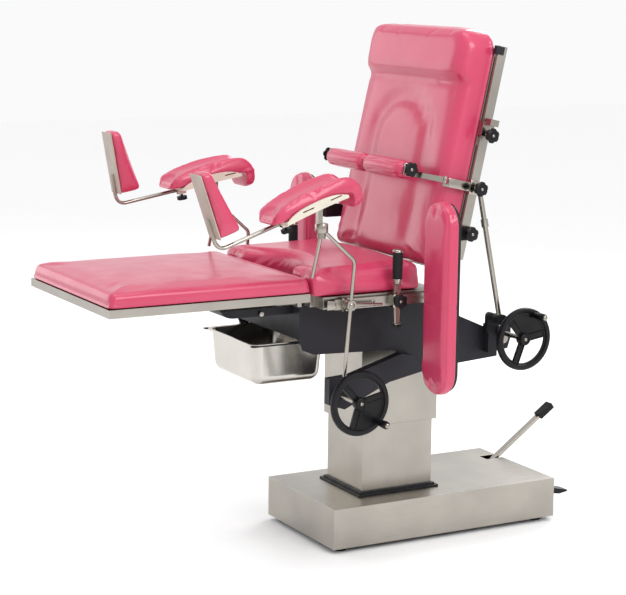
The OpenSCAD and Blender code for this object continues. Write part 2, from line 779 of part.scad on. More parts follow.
rod_hub_in = jaw_out + rail_gap * half_share + gap;
rod_hub_out = holder_y + rail_gap;
grip_bar_y = jaw_out + grip_bar_t * half_share;
module grip_jaws() {
    hole = grip_bar_t * half_share + gap;
    guide_out = grip_bar_y + hole + rail_gap * half_share;
    knob_start = guide_out + gap;
    on_table() color(black) for (s = [left, right]) difference() {
        union() {
            rail_hook(-grip_x, seat_rail_z, s, clamp_l * 0.8, jaw_in, guide_out);
            across(-grip_x, s * (guide_out - cut), seat_rail_z, knob_screw_d * 1.6, s * (cut + gap));
            translate([-grip_x, s * knob_start, seat_rail_z]) rotate([s * -90, 0, 0])
                star(knob_d, arm_y - gap * 4 - knob_start);
        }
        slab(-grip_x - grip_bar_w / 2 - gap, -grip_x + grip_bar_w / 2 + gap, s * (grip_bar_y - hole),
            s * (grip_bar_y + hole), seat_rail_z - rail_w, seat_rail_z + rail_w);
    }
}
module star(d, h) {
    difference() {
        cylinder(d = d, h = h);
        for (i = [0:knob_lobes - 1]) rotate([0, 0, 360 * i / knob_lobes])
            translate([d * 0.62, 0, -cut]) cylinder(d = d * 0.4, h = h + cut * 2);
    }
}
module seat_cushion() {
    l = seat_pad_y * 2;
    depth = seat_pad_front - seat_pad_rear;
    front = function(y) abs(y) > notch_y ? 0 : notch_l * pow(1 - pow(y / notch_y, 2), 0.45);
    dip = function(t, v) seat_pad_h * 0.06 * bump((t - l / 2) / (l * 0.5))
        - seat_pad_h * 0.09 * bump(v / depth - 0.1);
    rings = [for (t = stations(l, seat_pad_edge, 4, 24))
        let (d = end_drop(t, l, seat_pad_edge))
        ring(t, front(t - l / 2) + d, depth - d, seat_pad_h - d, seat_pad_edge, seat_tuck, 4, 7, dip,
            no_relief)];
    on_table() color(leather) translate([-seat_pad_front, seat_pad_y, panel_top + seat_h + gap])
        rotate([0, 0, -90]) soft(rings);
}

// Leg section

module leg_frame() {
    head = -seat_front - leg_gap;
    wall = seat_tube * half_share;
    on_table() color(steel) union() {
        difference() {
            slab(-leg_end, head, -seat_y, seat_y, leg_z, leg_z + leg_h);
            slab(wall - leg_end, head - wall, wall - seat_y, seat_y - wall, leg_z - cut, leg_z + leg_h
                - wall / 2);
        }
        for (s = [left, right]) {
            translate([head - seat_tube * 3, s * prong_y, hinge_z]) rotate([0, 90, 0])
                cylinder(d = prong_d, h = seat_tube * 3 + leg_gap - gap);
            slab(head - wall - cut, head, s * (prong_y - prong_d), s * (prong_y + prong_d),
                hinge_z - prong_d * 0.8, leg_z + wall);
        }
    }
}
module leg_cushion() {
    l = leg_end - seat_front - leg_gap - seat_tube * 0.3;
    w = seat_y * 2 - seat_tube * 0.4;
    leg_crown = leg_pad_h * 0.12;
    rings = [for (t = stations(l, leg_pad_edge, 4, 8))
        let (d = end_drop(t, l, leg_pad_edge))
        ring(t, d - w / 2, w / 2 - d, leg_pad_h - d, leg_pad_edge, tuck, 4, 6, crown(l, w, leg_crown),
            no_relief)];
    on_table() color(leather) translate([seat_tube * 0.15 - leg_end, 0, leg_z + leg_h + gap]) soft(rings);
}

// Basin

module basin() {
    mid = [basin_l / 2 - basin_front, 0, 0];
    r = basin_rim * 2;
    on_table() color(bright_steel) translate(mid) difference() {
        union() {
            translate([0, 0, basin_top - basin_h]) linear_extrude(basin_h)
                round_square(basin_l - basin_rim * 2, basin_w - basin_rim * 2, r);
            translate([0, 0, basin_top - basin_sheet]) linear_extrude(basin_sheet)
                round_square(basin_l, basin_w, r + basin_rim / 2);
        }
        translate([0, 0, basin_top - basin_h + basin_sheet]) linear_extrude(basin_h)
            round_square(basin_l - basin_rim * 2 - basin_sheet * 2, basin_w - basin_rim * 2
                - basin_sheet * 2,
                r - basin_sheet);
    }
}

// Handwheels and crank grips

grip_orbit = wheel_d * half_share * grip_orbit_share;
module handwheel(turn) {
    rim_r = wheel_d / 2 - rim_t / 2;
    shaft_l = wheel_y - panel_y - gearbox_t - rail_t - gap;
    boss_l = rim_t * 1.6;
    rotate([0, -turn, 0]) rotate([90, 0, 0]) union() {
        rotate_extrude() translate([rim_r, 0]) circle(d = rim_t);
        for (a = [60, 180, 300]) rotate([0, 0, a]) slab(0, rim_r, -spoke_w / 2, spoke_w / 2, -rim_t / 6,
            rim_t / 6);
        rotate([0, 0, -60]) rotate_extrude(angle = 120) translate([hub_d / 4, -rim_t / 8])
            square([rim_r - hub_d / 4, rim_t / 4]);
        translate([0, 0, -boss_l / 2]) cylinder(d = hub_d, h = boss_l);
        translate([0, 0, -shaft_l]) cylinder(d = crank_shaft_d, h = shaft_l);
        translate([grip_orbit, 0, 0]) cylinder(d = crank_grip_d * 0.4, h = rim_t + crank_grip_l * 0.7);
    }
}
module crank_grip(turn) {
    rotate([0, -turn, 0]) rotate([90, 0, 0]) translate([grip_orbit, 0, rim_t * half_share + gap])
        difference() {
            cylinder(d = crank_grip_d, h = crank_grip_l);
            translate([0, 0, -cut]) cylinder(d = crank_grip_d * 0.4 + fit * 2,
                h = crank_grip_l * 0.7 + rim_t / 2 + cut);
        }
}
front_turn = -47;
rear_turn = 69;
module front_handwheel() {
    on_table() color(black) translate([-front_wheel_x, -wheel_y, front_wheel_z]) handwheel(front_turn);
}
module front_crank_grip() {
    on_table() color(black) translate([-front_wheel_x, -wheel_y, front_wheel_z]) crank_grip(front_turn);
}
module rear_handwheel() {
    on_table() color(black) translate([rear_wheel_x, -wheel_y, rear_wheel_z]) handwheel(rear_turn);
}
module rear_crank_grip() {
    on_table() color(black) translate([rear_wheel_x, -wheel_y, rear_wheel_z]) crank_grip(rear_turn);
}

// Strut from the rear gearbox to the back

eye = [hinge_x + lug_n * cos(back_lean) + lug_s * sin(back_lean), -strut_y,
    hinge_z - lug_n * sin(back_lean) + lug_s * cos(back_lean)];
nut_at = [nut_x, -strut_y, nut_z];
strut_dir = (eye - nut_at) / norm(eye - nut_at);
module strut_nut() {
    stub = panel_y + gearbox_t;
    face = strut_y - nut_d / 2;
    on_table() color(black) difference() {
        union() {
            across(nut_x, -face, nut_z, nut_d, -nut_d);
            across(nut_x, -stub, nut_z, screw_d * 0.8, -(face - stub + cut));
        }
        rod_to(nut_at - strut_dir * nut_d, nut_at + strut_dir * nut_d, screw_d + fit * 2);
    }
}
module strut_screw() {
    on_table() color(bright_steel) union() {
        rod_to(nut_at - strut_dir * nut_d * 0.6, eye, screw_d);
        across(eye[0], screw_d * half_share - strut_y, eye[2], screw_d * 1.7, -screw_d);
        rod_to(eye - strut_dir * lug_n * 3, eye - strut_dir * lug_n * 2.4, screw_d * 1.4);
    }
}

// Back section, drawn upright with its hinge at the origin and its face towards -X

board_back = -board_t * 1.5;
module back_frame() {
    arm_in = arm_hinge_y - arm_plate_t;
    tube_in = arm_hinge_y - seat_tube;
    rear = board_t;
    low = back_rail_start;
    high = back_pad_start + back_pad_l - seat_tube * 2;
    on_back() color(steel) union() {
        for (s = [left, right]) {
            difference() {
                union() {
                    across(0, s * arm_in, 0, seat_h * 0.9, s * arm_plate_t);
                    slab(-rear, rear, s * arm_in, s * arm_hinge_y, 0, low + seat_tube);
                }
                across(0, s * (arm_in - cut), 0, hinge_pin_d + fit * 2, s * (arm_plate_t + cut * 2));
            }
            slab(board_back, rear, s * tube_in, s * arm_hinge_y, low, high);
            slab(-rail_w * 0.44, rail_w * 0.56, s * back_rail_in, s * (back_rail_in + rail_t),
                back_rail_start, back_rail_end);
            slab(rear - cut, lug_n, s * tube_in, s * (strut_y - screw_d * half_share - gap),
                lug_s - seat_tube * half_share, lug_s + seat_tube * half_share);
        }
        for (z = [low + rail_w * 0.5, (low + high) * 0.53, high - seat_tube])
            slab(board_back, rear, -back_rail_in - cut, back_rail_in + cut, z, z + seat_tube);
    }
}
module back_board() {
    board_y = back_pad_y - back_pad_edge;
    on_back() color(black) slab(board_back - board_t, board_back, -board_y, board_y,
        back_pad_start, back_pad_start + back_pad_l - back_pad_edge);
}
module back_cushion() {
    l = back_pad_l;
    w = back_pad_y * 2;
    panel_l = l - pillow_l;
    arch_r = w * 0.27;
    arch_top = panel_l * 0.90;
    arch = function(t, v) t > arch_top - arch_r
        ? norm([t - arch_top + arch_r, v]) - arch_r
        : abs(v) - arch_r;
    face = function(t, v)
        pillow_h * ramp((t - panel_l) / (pillow_l * 0.22)) - channel_h * 0.8 * bump((t
            - panel_l) / (pillow_l * 0.13))
        - channel_h * bump(arch(t, v) / (w * 0.075)) * ramp(t / (l * 0.2))
        + channel_h * 0.8 * (1 - pow(2 * v / w, 2));
    corner_r = back_pad_edge * 2.8;
    rings = [for (t = stations(l, back_pad_edge, 4, 28))
        let (d = end_drop(t, l, back_pad_edge),
            c = end_drop(t, l, t > l / 2 ? corner_r : back_pad_edge * 1.3))
        ring(t, c - w / 2, w / 2 - c, back_pad_h - d, back_pad_edge, deep_tuck, 4, 13, face, no_relief)];
    on_back() color(leather) translate([board_back - board_t - gap, 0, back_pad_start])
        rotate([0, -90, 0]) soft(rings);
}

// Clamps on the back rails

clamp_gap = gap * half_share;
clamp_out = back_rail_in + rail_t + rail_t;
module rail_clamp(s, at_s) {
    front = rail_w * 0.44 + rail_t * 0.6;
    rear = rail_w * 0.56 + rail_t * 0.6;
    low = at_s - clamp_l / 2;
    high = at_s + clamp_l / 2;
    inner = back_rail_in - clamp_gap;
    difference() {
        slab(-front, rear, s * (inner - rail_t * 0.1), s * clamp_out, low, high);
        slab(-rail_w * 0.44 - clamp_gap, rail_w * 0.56 + clamp_gap, s * (inner - rail_t),
            s * (back_rail_in + rail_t + clamp_gap),
            low - cut, high + cut);
    }
}
module knob_on(s, at_s, out) {
    translate([0, s * out, at_s]) rotate([s * -90, 0, 0]) union() {
        cylinder(d = knob_screw_d, h = knob_screw_l);
        translate([0, 0, knob_screw_l - cut]) star(knob_d, knob_h);
    }
}
module back_rail_clamps() {
    lug_x = rail_w * half_share;
    on_back() color(bright_steel) for (s = [left, right]) {
        rail_clamp(s, arm_clamp_s);
        rail_clamp(s, spare_clamp_s);
        difference() {
            slab(-lug_x, lug_x, s * (clamp_out - cut), s * (clamp_out + rail_w),
                spare_clamp_s + clamp_l / 2 - rail_t,
                spare_clamp_s + clamp_l / 2 + rail_t);
            translate([0, s * (clamp_out + rail_w / 2), spare_clamp_s]) cylinder(d = spare_bore_d,
                h = clamp_l * 2);
        }
    }
}
module rail_knobs() {
    on_back() color(black) for (s = [left, right]) {
        knob_on(s, arm_clamp_s, clamp_out);
        knob_on(s, spare_clamp_s - knob_h, clamp_out);
    }
}

// Shoulder supports

gate_y = back_rail_in + rail_t + shoulder_bar_t;
pad_n = gate_n + seat_y * 0.25;
clip_y = shoulder_pad_l * 0.85;
module shoulder_clamp(s) {
    bar_out = gate_y + shoulder_bar_t;
    low = shoulder_clamp_s - shoulder_bar_w / 2;
    on_back() color(bright_steel) union() {
        rail_clamp(s, shoulder_clamp_s);
        slab(-gate_n + gate_d, -rail_w * 0.44, s * gate_y, s * bar_out, low, low + shoulder_bar_w);
        translate([-gate_n, s * gate_y, low]) cylinder(d = gate_d, h = shoulder_bar_w / 3);
        slab(-gate_n, -gate_n + gate_d * 1.2, s * gate_y, s * bar_out, low, low + shoulder_bar_w / 3);
        translate([-gate_n, s * gate_y, low]) cylinder(d = gate_d * 0.5, h = shoulder_bar_w);
        knob_on(s, shoulder_clamp_s, clamp_out);
    }
}
module shoulder_arm(s) {
    low = shoulder_clamp_s - shoulder_bar_w / 6 + gap;
    high = shoulder_clamp_s + shoulder_bar_w / 2;
    a = [-gate_n, gate_y];
    b = [-gate_n - (pad_n - gate_n) * 0.5, gate_y * 0.82];
    c = [-pad_n + shoulder_pad_h * 0.2, clip_y + shoulder_bar_w];
    t = shoulder_bar_t;
    on_back() color(bright_steel) difference() {
        union() {
            translate([a[0], s * a[1], low]) cylinder(d = gate_d, h = high - low);
            translate([0, 0, low]) linear_extrude(high - low) polygon([[a[0], s * a[1]], [b[0], s * b[1]],
                [c[0], s * c[1]], [c[0], s * clip_y], [c[0] + t, s * clip_y], [c[0] + t, s * (c[1] + t)],
                [b[0] + t, s * (b[1] + t)], [a[0] + t, s * (a[1] + t / 4)]]);
            slab(c[0], c[0] + t, s * clip_y * 0.5, s * c[1], low, high);
        }
        translate([a[0], s * a[1], low - cut]) cylinder(d = gate_d * 0.5 + fit * 2, h = shoulder_bar_w * 2);
    }
}
module shoulder_pad(s) {
    l = shoulder_pad_l;
    w = shoulder_pad_w;
    rings = [for (t = stations(l, shoulder_pad_h * 0.4, 3, 8))
        let (d = end_drop(t, l, shoulder_pad_h * 0.4))
        ring(t, d - w / 2, w / 2 - d, shoulder_pad_h - d, shoulder_pad_h * 0.45, tuck, 3, 4,
            crown(l, w, shoulder_bar_t * 2), no_relief)];
    on_back() color(leather) translate([-pad_n + shoulder_pad_h * 0.2 - gap, s * gap * 10,
        shoulder_clamp_s + shoulder_bar_w * 0.4])
        mirror([0, s < 0 ? 1 : 0, 0]) rotate([0, -90, 0]) rotate([0, 0, 90]) soft(rings);
}

// Arm boards

arm_rear = arm_front - arm_pad_h - gap;
arm_pivot = [hinge_x + arm_clamp_s * sin(back_lean), hinge_z + arm_clamp_s * cos(back_lean)];
module arm_board(s) {
    back_x = arm_board_t - arm_rear;
    inner = clamp_out + gap;
    outer = inner + arm_bracket_t;
    on_table() color(black) difference() {
        union() {
            translate([-arm_rear, s * (arm_y + arm_w / 2), arm_z + arm_l / 2]) rotate([0, 90, 0])
                linear_extrude(arm_board_t) stadium(arm_l - rail_t, arm_w - rail_t);
            slab(back_x - cut, back_x + arm_bracket_t, s * inner, s * (arm_y + arm_w * 0.6),
                arm_pivot[1] - rail_w * 0.7, arm_pivot[1] + rail_w * 0.7);
            slab(back_x, arm_pivot[0], s * inner, s * outer, arm_pivot[1] - rail_w * 0.7,
                arm_pivot[1] + rail_w * 0.7);
            across(arm_pivot[0], s * inner, arm_pivot[1], rail_w * 1.4, s * arm_bracket_t);
        }
        across(arm_pivot[0], s * (inner - cut), arm_pivot[1], knob_screw_d + fit * 2,
            s * (arm_bracket_t + cut * 2));
    }
}
module arm_pad(s) {
    r = arm_w / 2;
    half = function(t) t < r ? sqrt(max(0, r * r - (r - t) * (r - t))) : t > arm_l - r
        ? sqrt(max(0, r * r - (t - arm_l + r) * (t - arm_l + r))) : r;
    steps = stations(arm_l, r, 7, 2);
    rings = [for (t = steps)
        let (c = max(half(min(max(t, r * 0.03), arm_l - r * 0.03)), r * 0.2),
            d = end_drop(min(max(t, slim_tuck / 2), arm_l - slim_tuck / 2), arm_l, arm_pad_h * 0.5))
        ring(t, -c, c, arm_pad_h - d, arm_pad_h * 0.45, slim_tuck, 3, 3, crown(arm_l, arm_w, slim_tuck),
            no_relief)];
    on_table() color(leather) translate([-arm_rear - gap, s * (arm_y + r), arm_z]) rotate([0, -90, 0])
        soft(rings);
}

// Hand grips

module hand_grip(s) {
    collar_h = grip_bar_w * half_share;
    on_table() color(bright_steel) union() {
        slab(-grip_x - grip_bar_w / 2, -grip_x + grip_bar_w / 2, s * (grip_bar_y - grip_bar_t / 2),
            s * (grip_bar_y + grip_bar_t / 2), grip_bar_z, grip_z - collar_h / 2);
        translate([-grip_x, s * grip_bar_y, grip_z - collar_h]) cylinder(d = grip_d * 0.8, h = collar_h);
        translate([-grip_x, s * grip_bar_y, grip_z - cut]) cylinder(d = grip_d * 0.4, h = grip_l * 0.9);
    }
}
module grip_sleeve(s) {
    on_table() color(black) translate([-grip_x, s * grip_bar_y, grip_z]) difference() {
        union() {
            cylinder(d = grip_d, h = grip_l);
            translate([0, 0, grip_l * 0.94]) cylinder(d = grip_d * 1.05, h = grip_l * 0.06);
        }
        translate([0, 0, -cut]) cylinder(d = grip_d * 0.4, h = grip_l * 0.9);
    }
}

// Leg holders

rod_lean = 4.9;
rod_slope = 48;
rod_foot = [-rod_clamp_x - rod_down * sin(rod_lean), 0, seat_rail_z - rod_down * cos(rod_lean)];
rod_bend = [-rod_clamp_x + rod_up * sin(rod_lean), 0, seat_rail_z + rod_up * cos(rod_lean)];
socket_at = rod_bend + rod_reach * [-sin(rod_slope), 0, cos(rod_slope)];
pad_pin_at = socket_at + [-pad_hub_d * 0.44, 0, pad_pin_rise];
module on_holder(s) {
    on_table() translate([0, s * holder_y, 0]) children();
}
module on_pad(s) {
    on_holder(s) translate(pad_pin_at) rotate([0, s == left ? -near_pitch : -far_pitch, 0]) children();
}
module on_saddle(s) {
    on_pad(s) translate([-pad_set, 0, 0]) children();
}
module rod_clamp(s) {
    far = s * (rod_hub_out - holder_y);
    near = s * (rod_hub_in - holder_y);
    on_holder(s) color(bright_steel) difference() {
        union() {
            across(-rod_clamp_x, near, seat_rail_z, rod_d * 2.6, far - near);
            translate([-rod_clamp_x, 0, seat_rail_z]) rotate([0, 92, 0])
                cylinder(d1 = rod_d * 1.1, d2 = rod_d * 0.7, h = rod_d * 9.2);
        }
        rod_to(rod_foot, rod_bend, rod_d + fit * 2);
    }
}
module holder_rod(s) {
    turn = rod_slope + rod_lean;
    setback = rod_bend_r * tan(turn / 2);
    up_dir = [sin(rod_lean), 0, cos(rod_lean)];
    out_dir = [-sin(rod_slope), 0, cos(rod_slope)];
    start = rod_bend - up_dir * setback;
    fork_w = pad_hub_d * 0.45;
    fork_x = pad_hub_d * 0.4;
    slot_w = pad_hub_d * 0.22 + gap;
    on_holder(s) color(bright_steel) union() {
        rod_to(rod_foot, start + up_dir * cut, rod_d);
        translate(start) rotate([0, rod_lean, 0]) translate([-rod_bend_r, 0, 0]) rotate([90, 0, 0])
            mirror([0, 0, 1]) rotate_extrude(angle = turn) translate([rod_bend_r, 0])
                circle(d = rod_d * 1.02);
        rod_to(rod_bend + out_dir * (setback - cut), socket_at, rod_d);
        translate(socket_at - [0, 0, socket_d * 0.75]) cylinder(d = socket_d * 0.64,
            h = socket_d * half_share);
        translate(socket_at - [0, 0, socket_d * 0.28]) cylinder(d = socket_d, h = socket_d * 0.72);
        rod_to(socket_at - [0, 0, socket_d * 0.4], socket_at - [socket_d * 0.8, 0, socket_d * 3.9],
            rod_d * 0.9);
        difference() {
            union() {
                slab(pad_pin_at[0] - fork_x, pad_pin_at[0] + fork_x, -fork_w, fork_w, socket_at[2],
                    pad_pin_at[2]);
                across(pad_pin_at[0], -fork_w, pad_pin_at[2], fork_x * 2, fork_w * 2);
            }
            slab(pad_pin_at[0] - pad_hub_d, pad_pin_at[0] + pad_hub_d, -slot_w, slot_w,
                pad_pin_at[2] - pad_hub_d * 0.7, pad_pin_at[2] + pad_hub_d);
        }
        across(pad_pin_at[0], -fork_w, pad_pin_at[2], rod_d * half_share, fork_w * 2);
    }
}
thigh_front = thigh_l * 0.55;
curl_from = thigh_l * 0.25;
curl_r = thigh_h * 0.47;
curl_turn = 100;
curl_l = curl_r * curl_turn * PI / 180;
bar_z = shell_low - foot_bar_d * 0.9;
thigh_base = shell_low + shell_t + gap * 3;
function arch_drop(x) = thigh_h * 0.2 * pow(x / thigh_front, 2);
function front_share(x) = pow(min(x, 0) / thigh_front, 2);
function curled(x, v, z) = let (a = min(max(x - curl_from, 0) / curl_l, 1) * curl_turn,
    rest = max(x - curl_from - curl_l, 0), out = curl_r + z)
    [min(x, curl_from) + out * sin(a) + rest * cos(a), v,
        out * cos(a) - curl_r - rest * sin(a) - arch_drop(min(x, curl_from))];
trough = function(t, v) let (x = t - thigh_front) trough_h * pow(2 * v / thigh_w, 2)
    * (1 - 0.8 * front_share(x)) * (1 - ramp((x - curl_from) / curl_l)) - thigh_h * 0.2 * front_share(x);
module pad_shell(s) {
    x0 = -thigh_l * 0.45;
    x1 = thigh_l * 0.24;
    wall_in = thigh_w / 2 + shell_t * 0.4;
    wall_out = wall_in + shell_t * 0.6;
    half = (x1 - x0) / 2;
    mid = x0 + half;
    clip_x = x0 + foot_bar_d * 2;
    clip_h = foot_bar_d * 2;
    slot_l = thigh_l * 0.13;
    curve = [for (i = [0:12]) let (x = x0 + (x1 - x0) * i / 12) [x, shell_low - arch_drop(x)]];
    wall_h = trough_h * 0.75;
    brim = [for (i = [12:-1:0])
        curve[i] + [0, shell_t + wall_h * (1 - pow(abs(curve[i][0] - mid) / half, 3))]];
    hub_w = pad_hub_d * 0.22;
    lug_x = pad_hub_d * 0.3;
    on_saddle(s) color(ivory) difference() {
        union() {
            across(pad_set, -hub_w, 0, pad_hub_d, hub_w * 2);
            slab(pad_set - lug_x, pad_set + lug_x, -hub_w, hub_w, 0, shell_low + shell_t / 2);
            profile(concat(curve, [for (i = [12:-1:0]) curve[i] + [0, shell_t]]), -wall_out, wall_out);
            for (side = [-1, 1]) profile(concat(curve, brim), side * wall_in, side * wall_out);
            slab(clip_x - foot_bar_d, clip_x + foot_bar_d, -foot_bar_d, foot_bar_d, shell_low - clip_h,
                shell_low + shell_t / 2);
            translate([clip_x, 0, shell_low - clip_h + cut]) rotate([180, 0, 0]) union() {
                cylinder(d = knob_screw_d * 0.8, h = knob_screw_d);
                translate([0, 0, knob_screw_d - cut]) star(knob_d * 0.7, knob_h * 0.7);
            }
        }
        for (x = [mid - half * 0.28, mid + half * 0.62])
            translate([x, 0, shell_low + shell_t + wall_h * 0.3]) rotate([90, 0, 0])
                linear_extrude(thigh_l, center = true) stadium(slot_l, shell_t / 2);
        translate([x0 - thigh_l, 0, bar_z]) rotate([0, 90, 0]) cylinder(d = foot_bar_d + fit * 2,
            h = thigh_l - x0);
        across(pad_set, -hub_w - cut, 0, rod_d / 2 + fit * 2, (hub_w + cut) * 2);
    }
}
module thigh_pad(s) {
    e = thigh_h * 0.6;
    curl_t = thigh_front + curl_from;
    tail = thigh_l - e - curl_t - curl_l;
    steps = concat([for (a = arc_steps(3)) e * a], [for (i = [0:9]) e + (curl_t - e) * i / 9],
        [for (i = [1:8]) curl_t + curl_l * i / 8], [thigh_l - e - tail / 2, thigh_l - e],
        [for (a = [2:-1:0]) thigh_l - e * arc_steps(3)[a]]);
    rings = [for (t = steps)
        let (d = end_drop(t, thigh_l, e), c = end_drop(t, thigh_l, thigh_h),
            flat = ring(t, c - thigh_w / 2, thigh_w / 2 - c, thigh_h - d, thigh_h * 0.45, tuck, 3, 6,
                trough, no_relief))
        [for (p = flat) curled(p[0] - thigh_front, p[1], p[2])]];
    on_saddle(s) color(leather) translate([0, 0, thigh_base]) soft(rings);
}
module foot_bar(s) {
    z = bar_z;
    bend_x = foot_bend_r - foot_bar_l;
    on_saddle(s) color(bright_steel) union() {
        rod_to([-foot_bar_in, 0, z], [bend_x, 0, z], foot_bar_d);
        translate([bend_x, 0, z + foot_bend_r]) rotate([90, 0, 0]) rotate([0, 0, 180])
            rotate_extrude(angle = 90) translate([foot_bend_r, 0]) circle(d = foot_bar_d);
        translate([-foot_bar_l, 0, z + foot_bend_r]) cylinder(d = foot_bar_d, h = foot_plate_h * 0.35);
        translate([-foot_bar_l + foot_bar_d * 0.3, 0, z + foot_bend_r * 1.2]) slab(0, panel_t / 2,
            -foot_plate_w / 2, foot_plate_w / 2, 0, foot_plate_h);
    }
}
module foot_pad(s) {
    z = bar_z + foot_bend_r * 1.2;
    w = foot_pad_w;
    rings = [for (t = stations(foot_plate_h, toe_h * 0.4, 2, 4))
        let (d = end_drop(t, foot_plate_h, toe_h * 0.4), h = heel_h + (toe_h - heel_h) * t / foot_plate_h)
        ring(t, d - w / 2, w / 2 - d, h - d, toe_h * 0.3, slim_tuck, 2, 3, no_relief, no_relief)];
    on_saddle(s) color(leather) translate([-foot_bar_l + foot_bar_d * 0.3 + panel_t / 2 + gap, 0, z])
        mirror([1, 0, 0]) rotate([0, -90, 0]) soft(rings);
}

base_cover();
base_chassis();
levelling_feet();
column_skirt();
lower_column();
lift_jack();
pump_pedal();
pump_pedal_pad();
release_pedal();
lift_ram();
column_sleeve();
column_head();
underframe();
front_gearbox();
rear_gearbox();
seat_frame();
side_rails();
rod_jaws();
grip_jaws();
seat_cushion();
leg_frame();
leg_cushion();
basin();
front_handwheel();
front_crank_grip();
rear_handwheel();
rear_crank_grip();
strut_nut();
strut_screw();
back_frame();
back_board();
back_cushion();
back_rail_clamps();
rail_knobs();
shoulder_clamp(left);  // left_shoulder_clamp
shoulder_arm(left);  // left_shoulder_arm
shoulder_pad(left);  // left_shoulder_pad
shoulder_clamp(right);  // right_shoulder_clamp
shoulder_arm(right);  // right_shoulder_arm
shoulder_pad(right);  // right_shoulder_pad
arm_board(left);  // left_arm_board
arm_pad(left);  // left_arm_pad
arm_board(right);  // right_arm_board
arm_pad(right);  // right_arm_pad
hand_grip(left);  // left_hand_grip
grip_sleeve(left);  // left_grip_sleeve
hand_grip(right);  // right_hand_grip
grip_sleeve(right);  // right_grip_sleeve
rod_clamp(left);  // left_rod_clamp
holder_rod(left);  // left_holder_rod
pad_shell(left);  // left_pad_shell
thigh_pad(left);  // left_thigh_pad
foot_bar(left);  // left_foot_bar
foot_pad(left);  // left_foot_pad
rod_clamp(right);  // right_rod_clamp
holder_rod(right);  // right_holder_rod
pad_shell(right);  // right_pad_shell
thigh_pad(right);  // right_thigh_pad
foot_bar(right);  // right_foot_bar
foot_pad(right);  // right_foot_pad
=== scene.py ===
"""Looks of a manual operating table for gynaecology: leather cushions, brushed steel, black cranks."""
import json
import math

import bmesh
import bpy
from mathutils import Matrix, Vector


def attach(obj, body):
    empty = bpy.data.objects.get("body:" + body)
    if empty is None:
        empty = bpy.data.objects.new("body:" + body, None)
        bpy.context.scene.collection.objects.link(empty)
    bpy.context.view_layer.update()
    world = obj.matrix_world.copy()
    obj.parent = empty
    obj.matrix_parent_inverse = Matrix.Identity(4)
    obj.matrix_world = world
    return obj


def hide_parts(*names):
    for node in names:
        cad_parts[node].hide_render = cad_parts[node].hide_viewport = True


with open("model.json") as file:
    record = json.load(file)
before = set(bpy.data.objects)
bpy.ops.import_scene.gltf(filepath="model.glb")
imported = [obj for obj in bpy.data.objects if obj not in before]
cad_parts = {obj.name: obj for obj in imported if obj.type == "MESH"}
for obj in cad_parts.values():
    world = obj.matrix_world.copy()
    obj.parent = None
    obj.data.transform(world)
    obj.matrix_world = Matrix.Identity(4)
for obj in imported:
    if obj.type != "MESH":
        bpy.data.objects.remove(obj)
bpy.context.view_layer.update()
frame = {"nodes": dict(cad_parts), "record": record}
nodes = frame["nodes"]
mm = 0.001
sides = {"left": -1, "right": 1}

# Places on the table, in millimetres from the column's axis, as the solids have them

column_x = 151.659
rail_z, rail_face = 792, 316
grip_x = -144
wheel_y = -361
hinge = (column_x + 62, 0, 796)
back_lean = 12.5
holder_y = 338
pad_pin = (column_x - 418.3, 1085.9)
pad_pitch = {"left": 19, "right": 10}


def point(x, y, z):
    """A place given in millimetres from the column's axis, in metres in the table's frame."""
    return Vector(((x + column_x) * mm, y * mm, z * mm))


def seen_from(place, azimuth, pitch, roll):
    """A camera's matrix from its place and, in degrees, its azimuth, its pitch downward and its roll."""
    turn = (Matrix.Rotation(math.radians(azimuth), 4, "Z") @ Matrix.Rotation(math.radians(90 - pitch), 4, "X")
            @ Matrix.Rotation(math.radians(roll), 4, "Z"))
    return Matrix.Translation(place) @ turn


# Camera: the photograph's view, with its size, focal length and middle row in pixels

photo_w, photo_h = 626, 595
focal, middle_row = 1867.5, 285.06
sensor_w = 36
camera = bpy.data.objects.new("camera", bpy.data.cameras.new("camera"))
bpy.context.scene.collection.objects.link(camera)
camera.matrix_world = seen_from(point(-2991.3, -4935.3, 1757.2), -29.068, 9.668, 0.711)
camera.data.lens = sensor_w * focal / photo_w
camera.data.shift_y = (middle_row - photo_h / 2) / photo_w
camera.data.clip_end = 60
bpy.context.scene.camera = camera


# Light: a key, a top, a rim and a sheen softbox around the table


def softbox(name, place, aim, size, watts, tint=(1, 1, 1)):
    """A rectangular studio light that faces a point."""
    light = bpy.data.lights.new(name, "AREA")
    light.shape, light.size, light.size_y = "RECTANGLE", size[0], size[1]
    light.energy, light.color = watts, tint
    lamp = bpy.data.objects.new(name, light)
    bpy.context.scene.collection.objects.link(lamp)
    lamp.location = place
    lamp.rotation_euler = (Vector(aim) - Vector(place)).to_track_quat("-Z", "Y").to_euler()


softbox("key_softbox", (0.6, -4.6, 3.6), (0, 0, 0.8), (2.4, 2.4), 110)
softbox("top_softbox", (-0.4, -0.6, 4.6), (0, 0, 0.6), (3.0, 2.2), 46)
softbox("rim_softbox", (3.6, 2.6, 3.2), (0, 0, 0.9), (1.8, 2.4), 70)
softbox("sheen_softbox", (-2.2, 3.6, 1.6), (0.2, 0, 1.1), (2.6, 2.2), 26)
bpy.context.scene.view_settings.view_transform = "Standard"


# Finishes: every pattern is drawn from Object coordinates, in metres


def linear(sheet_colour):
    """An sRGB hex colour as the linear colour that a socket takes."""
    parts = [int(sheet_colour[i:i + 2], 16) / 255 for i in (1, 3, 5)]
    return (*[c / 12.92 if c <= 0.04045 else ((c + 0.055) / 1.055) ** 2.4 for c in parts], 1)


def add(tree, kind, takes=None, **settings):
    """A node with its settings; takes gives each socket a value or another node's socket."""
    node = tree.nodes.new(kind)
    for key, value in settings.items():
        setattr(node, key, value)
    for key, value in (takes or {}).items():
        if isinstance(value, bpy.types.NodeSocket):
            tree.links.new(value, node.inputs[key])
        else:
            node.inputs[key].default_value = value
    return node


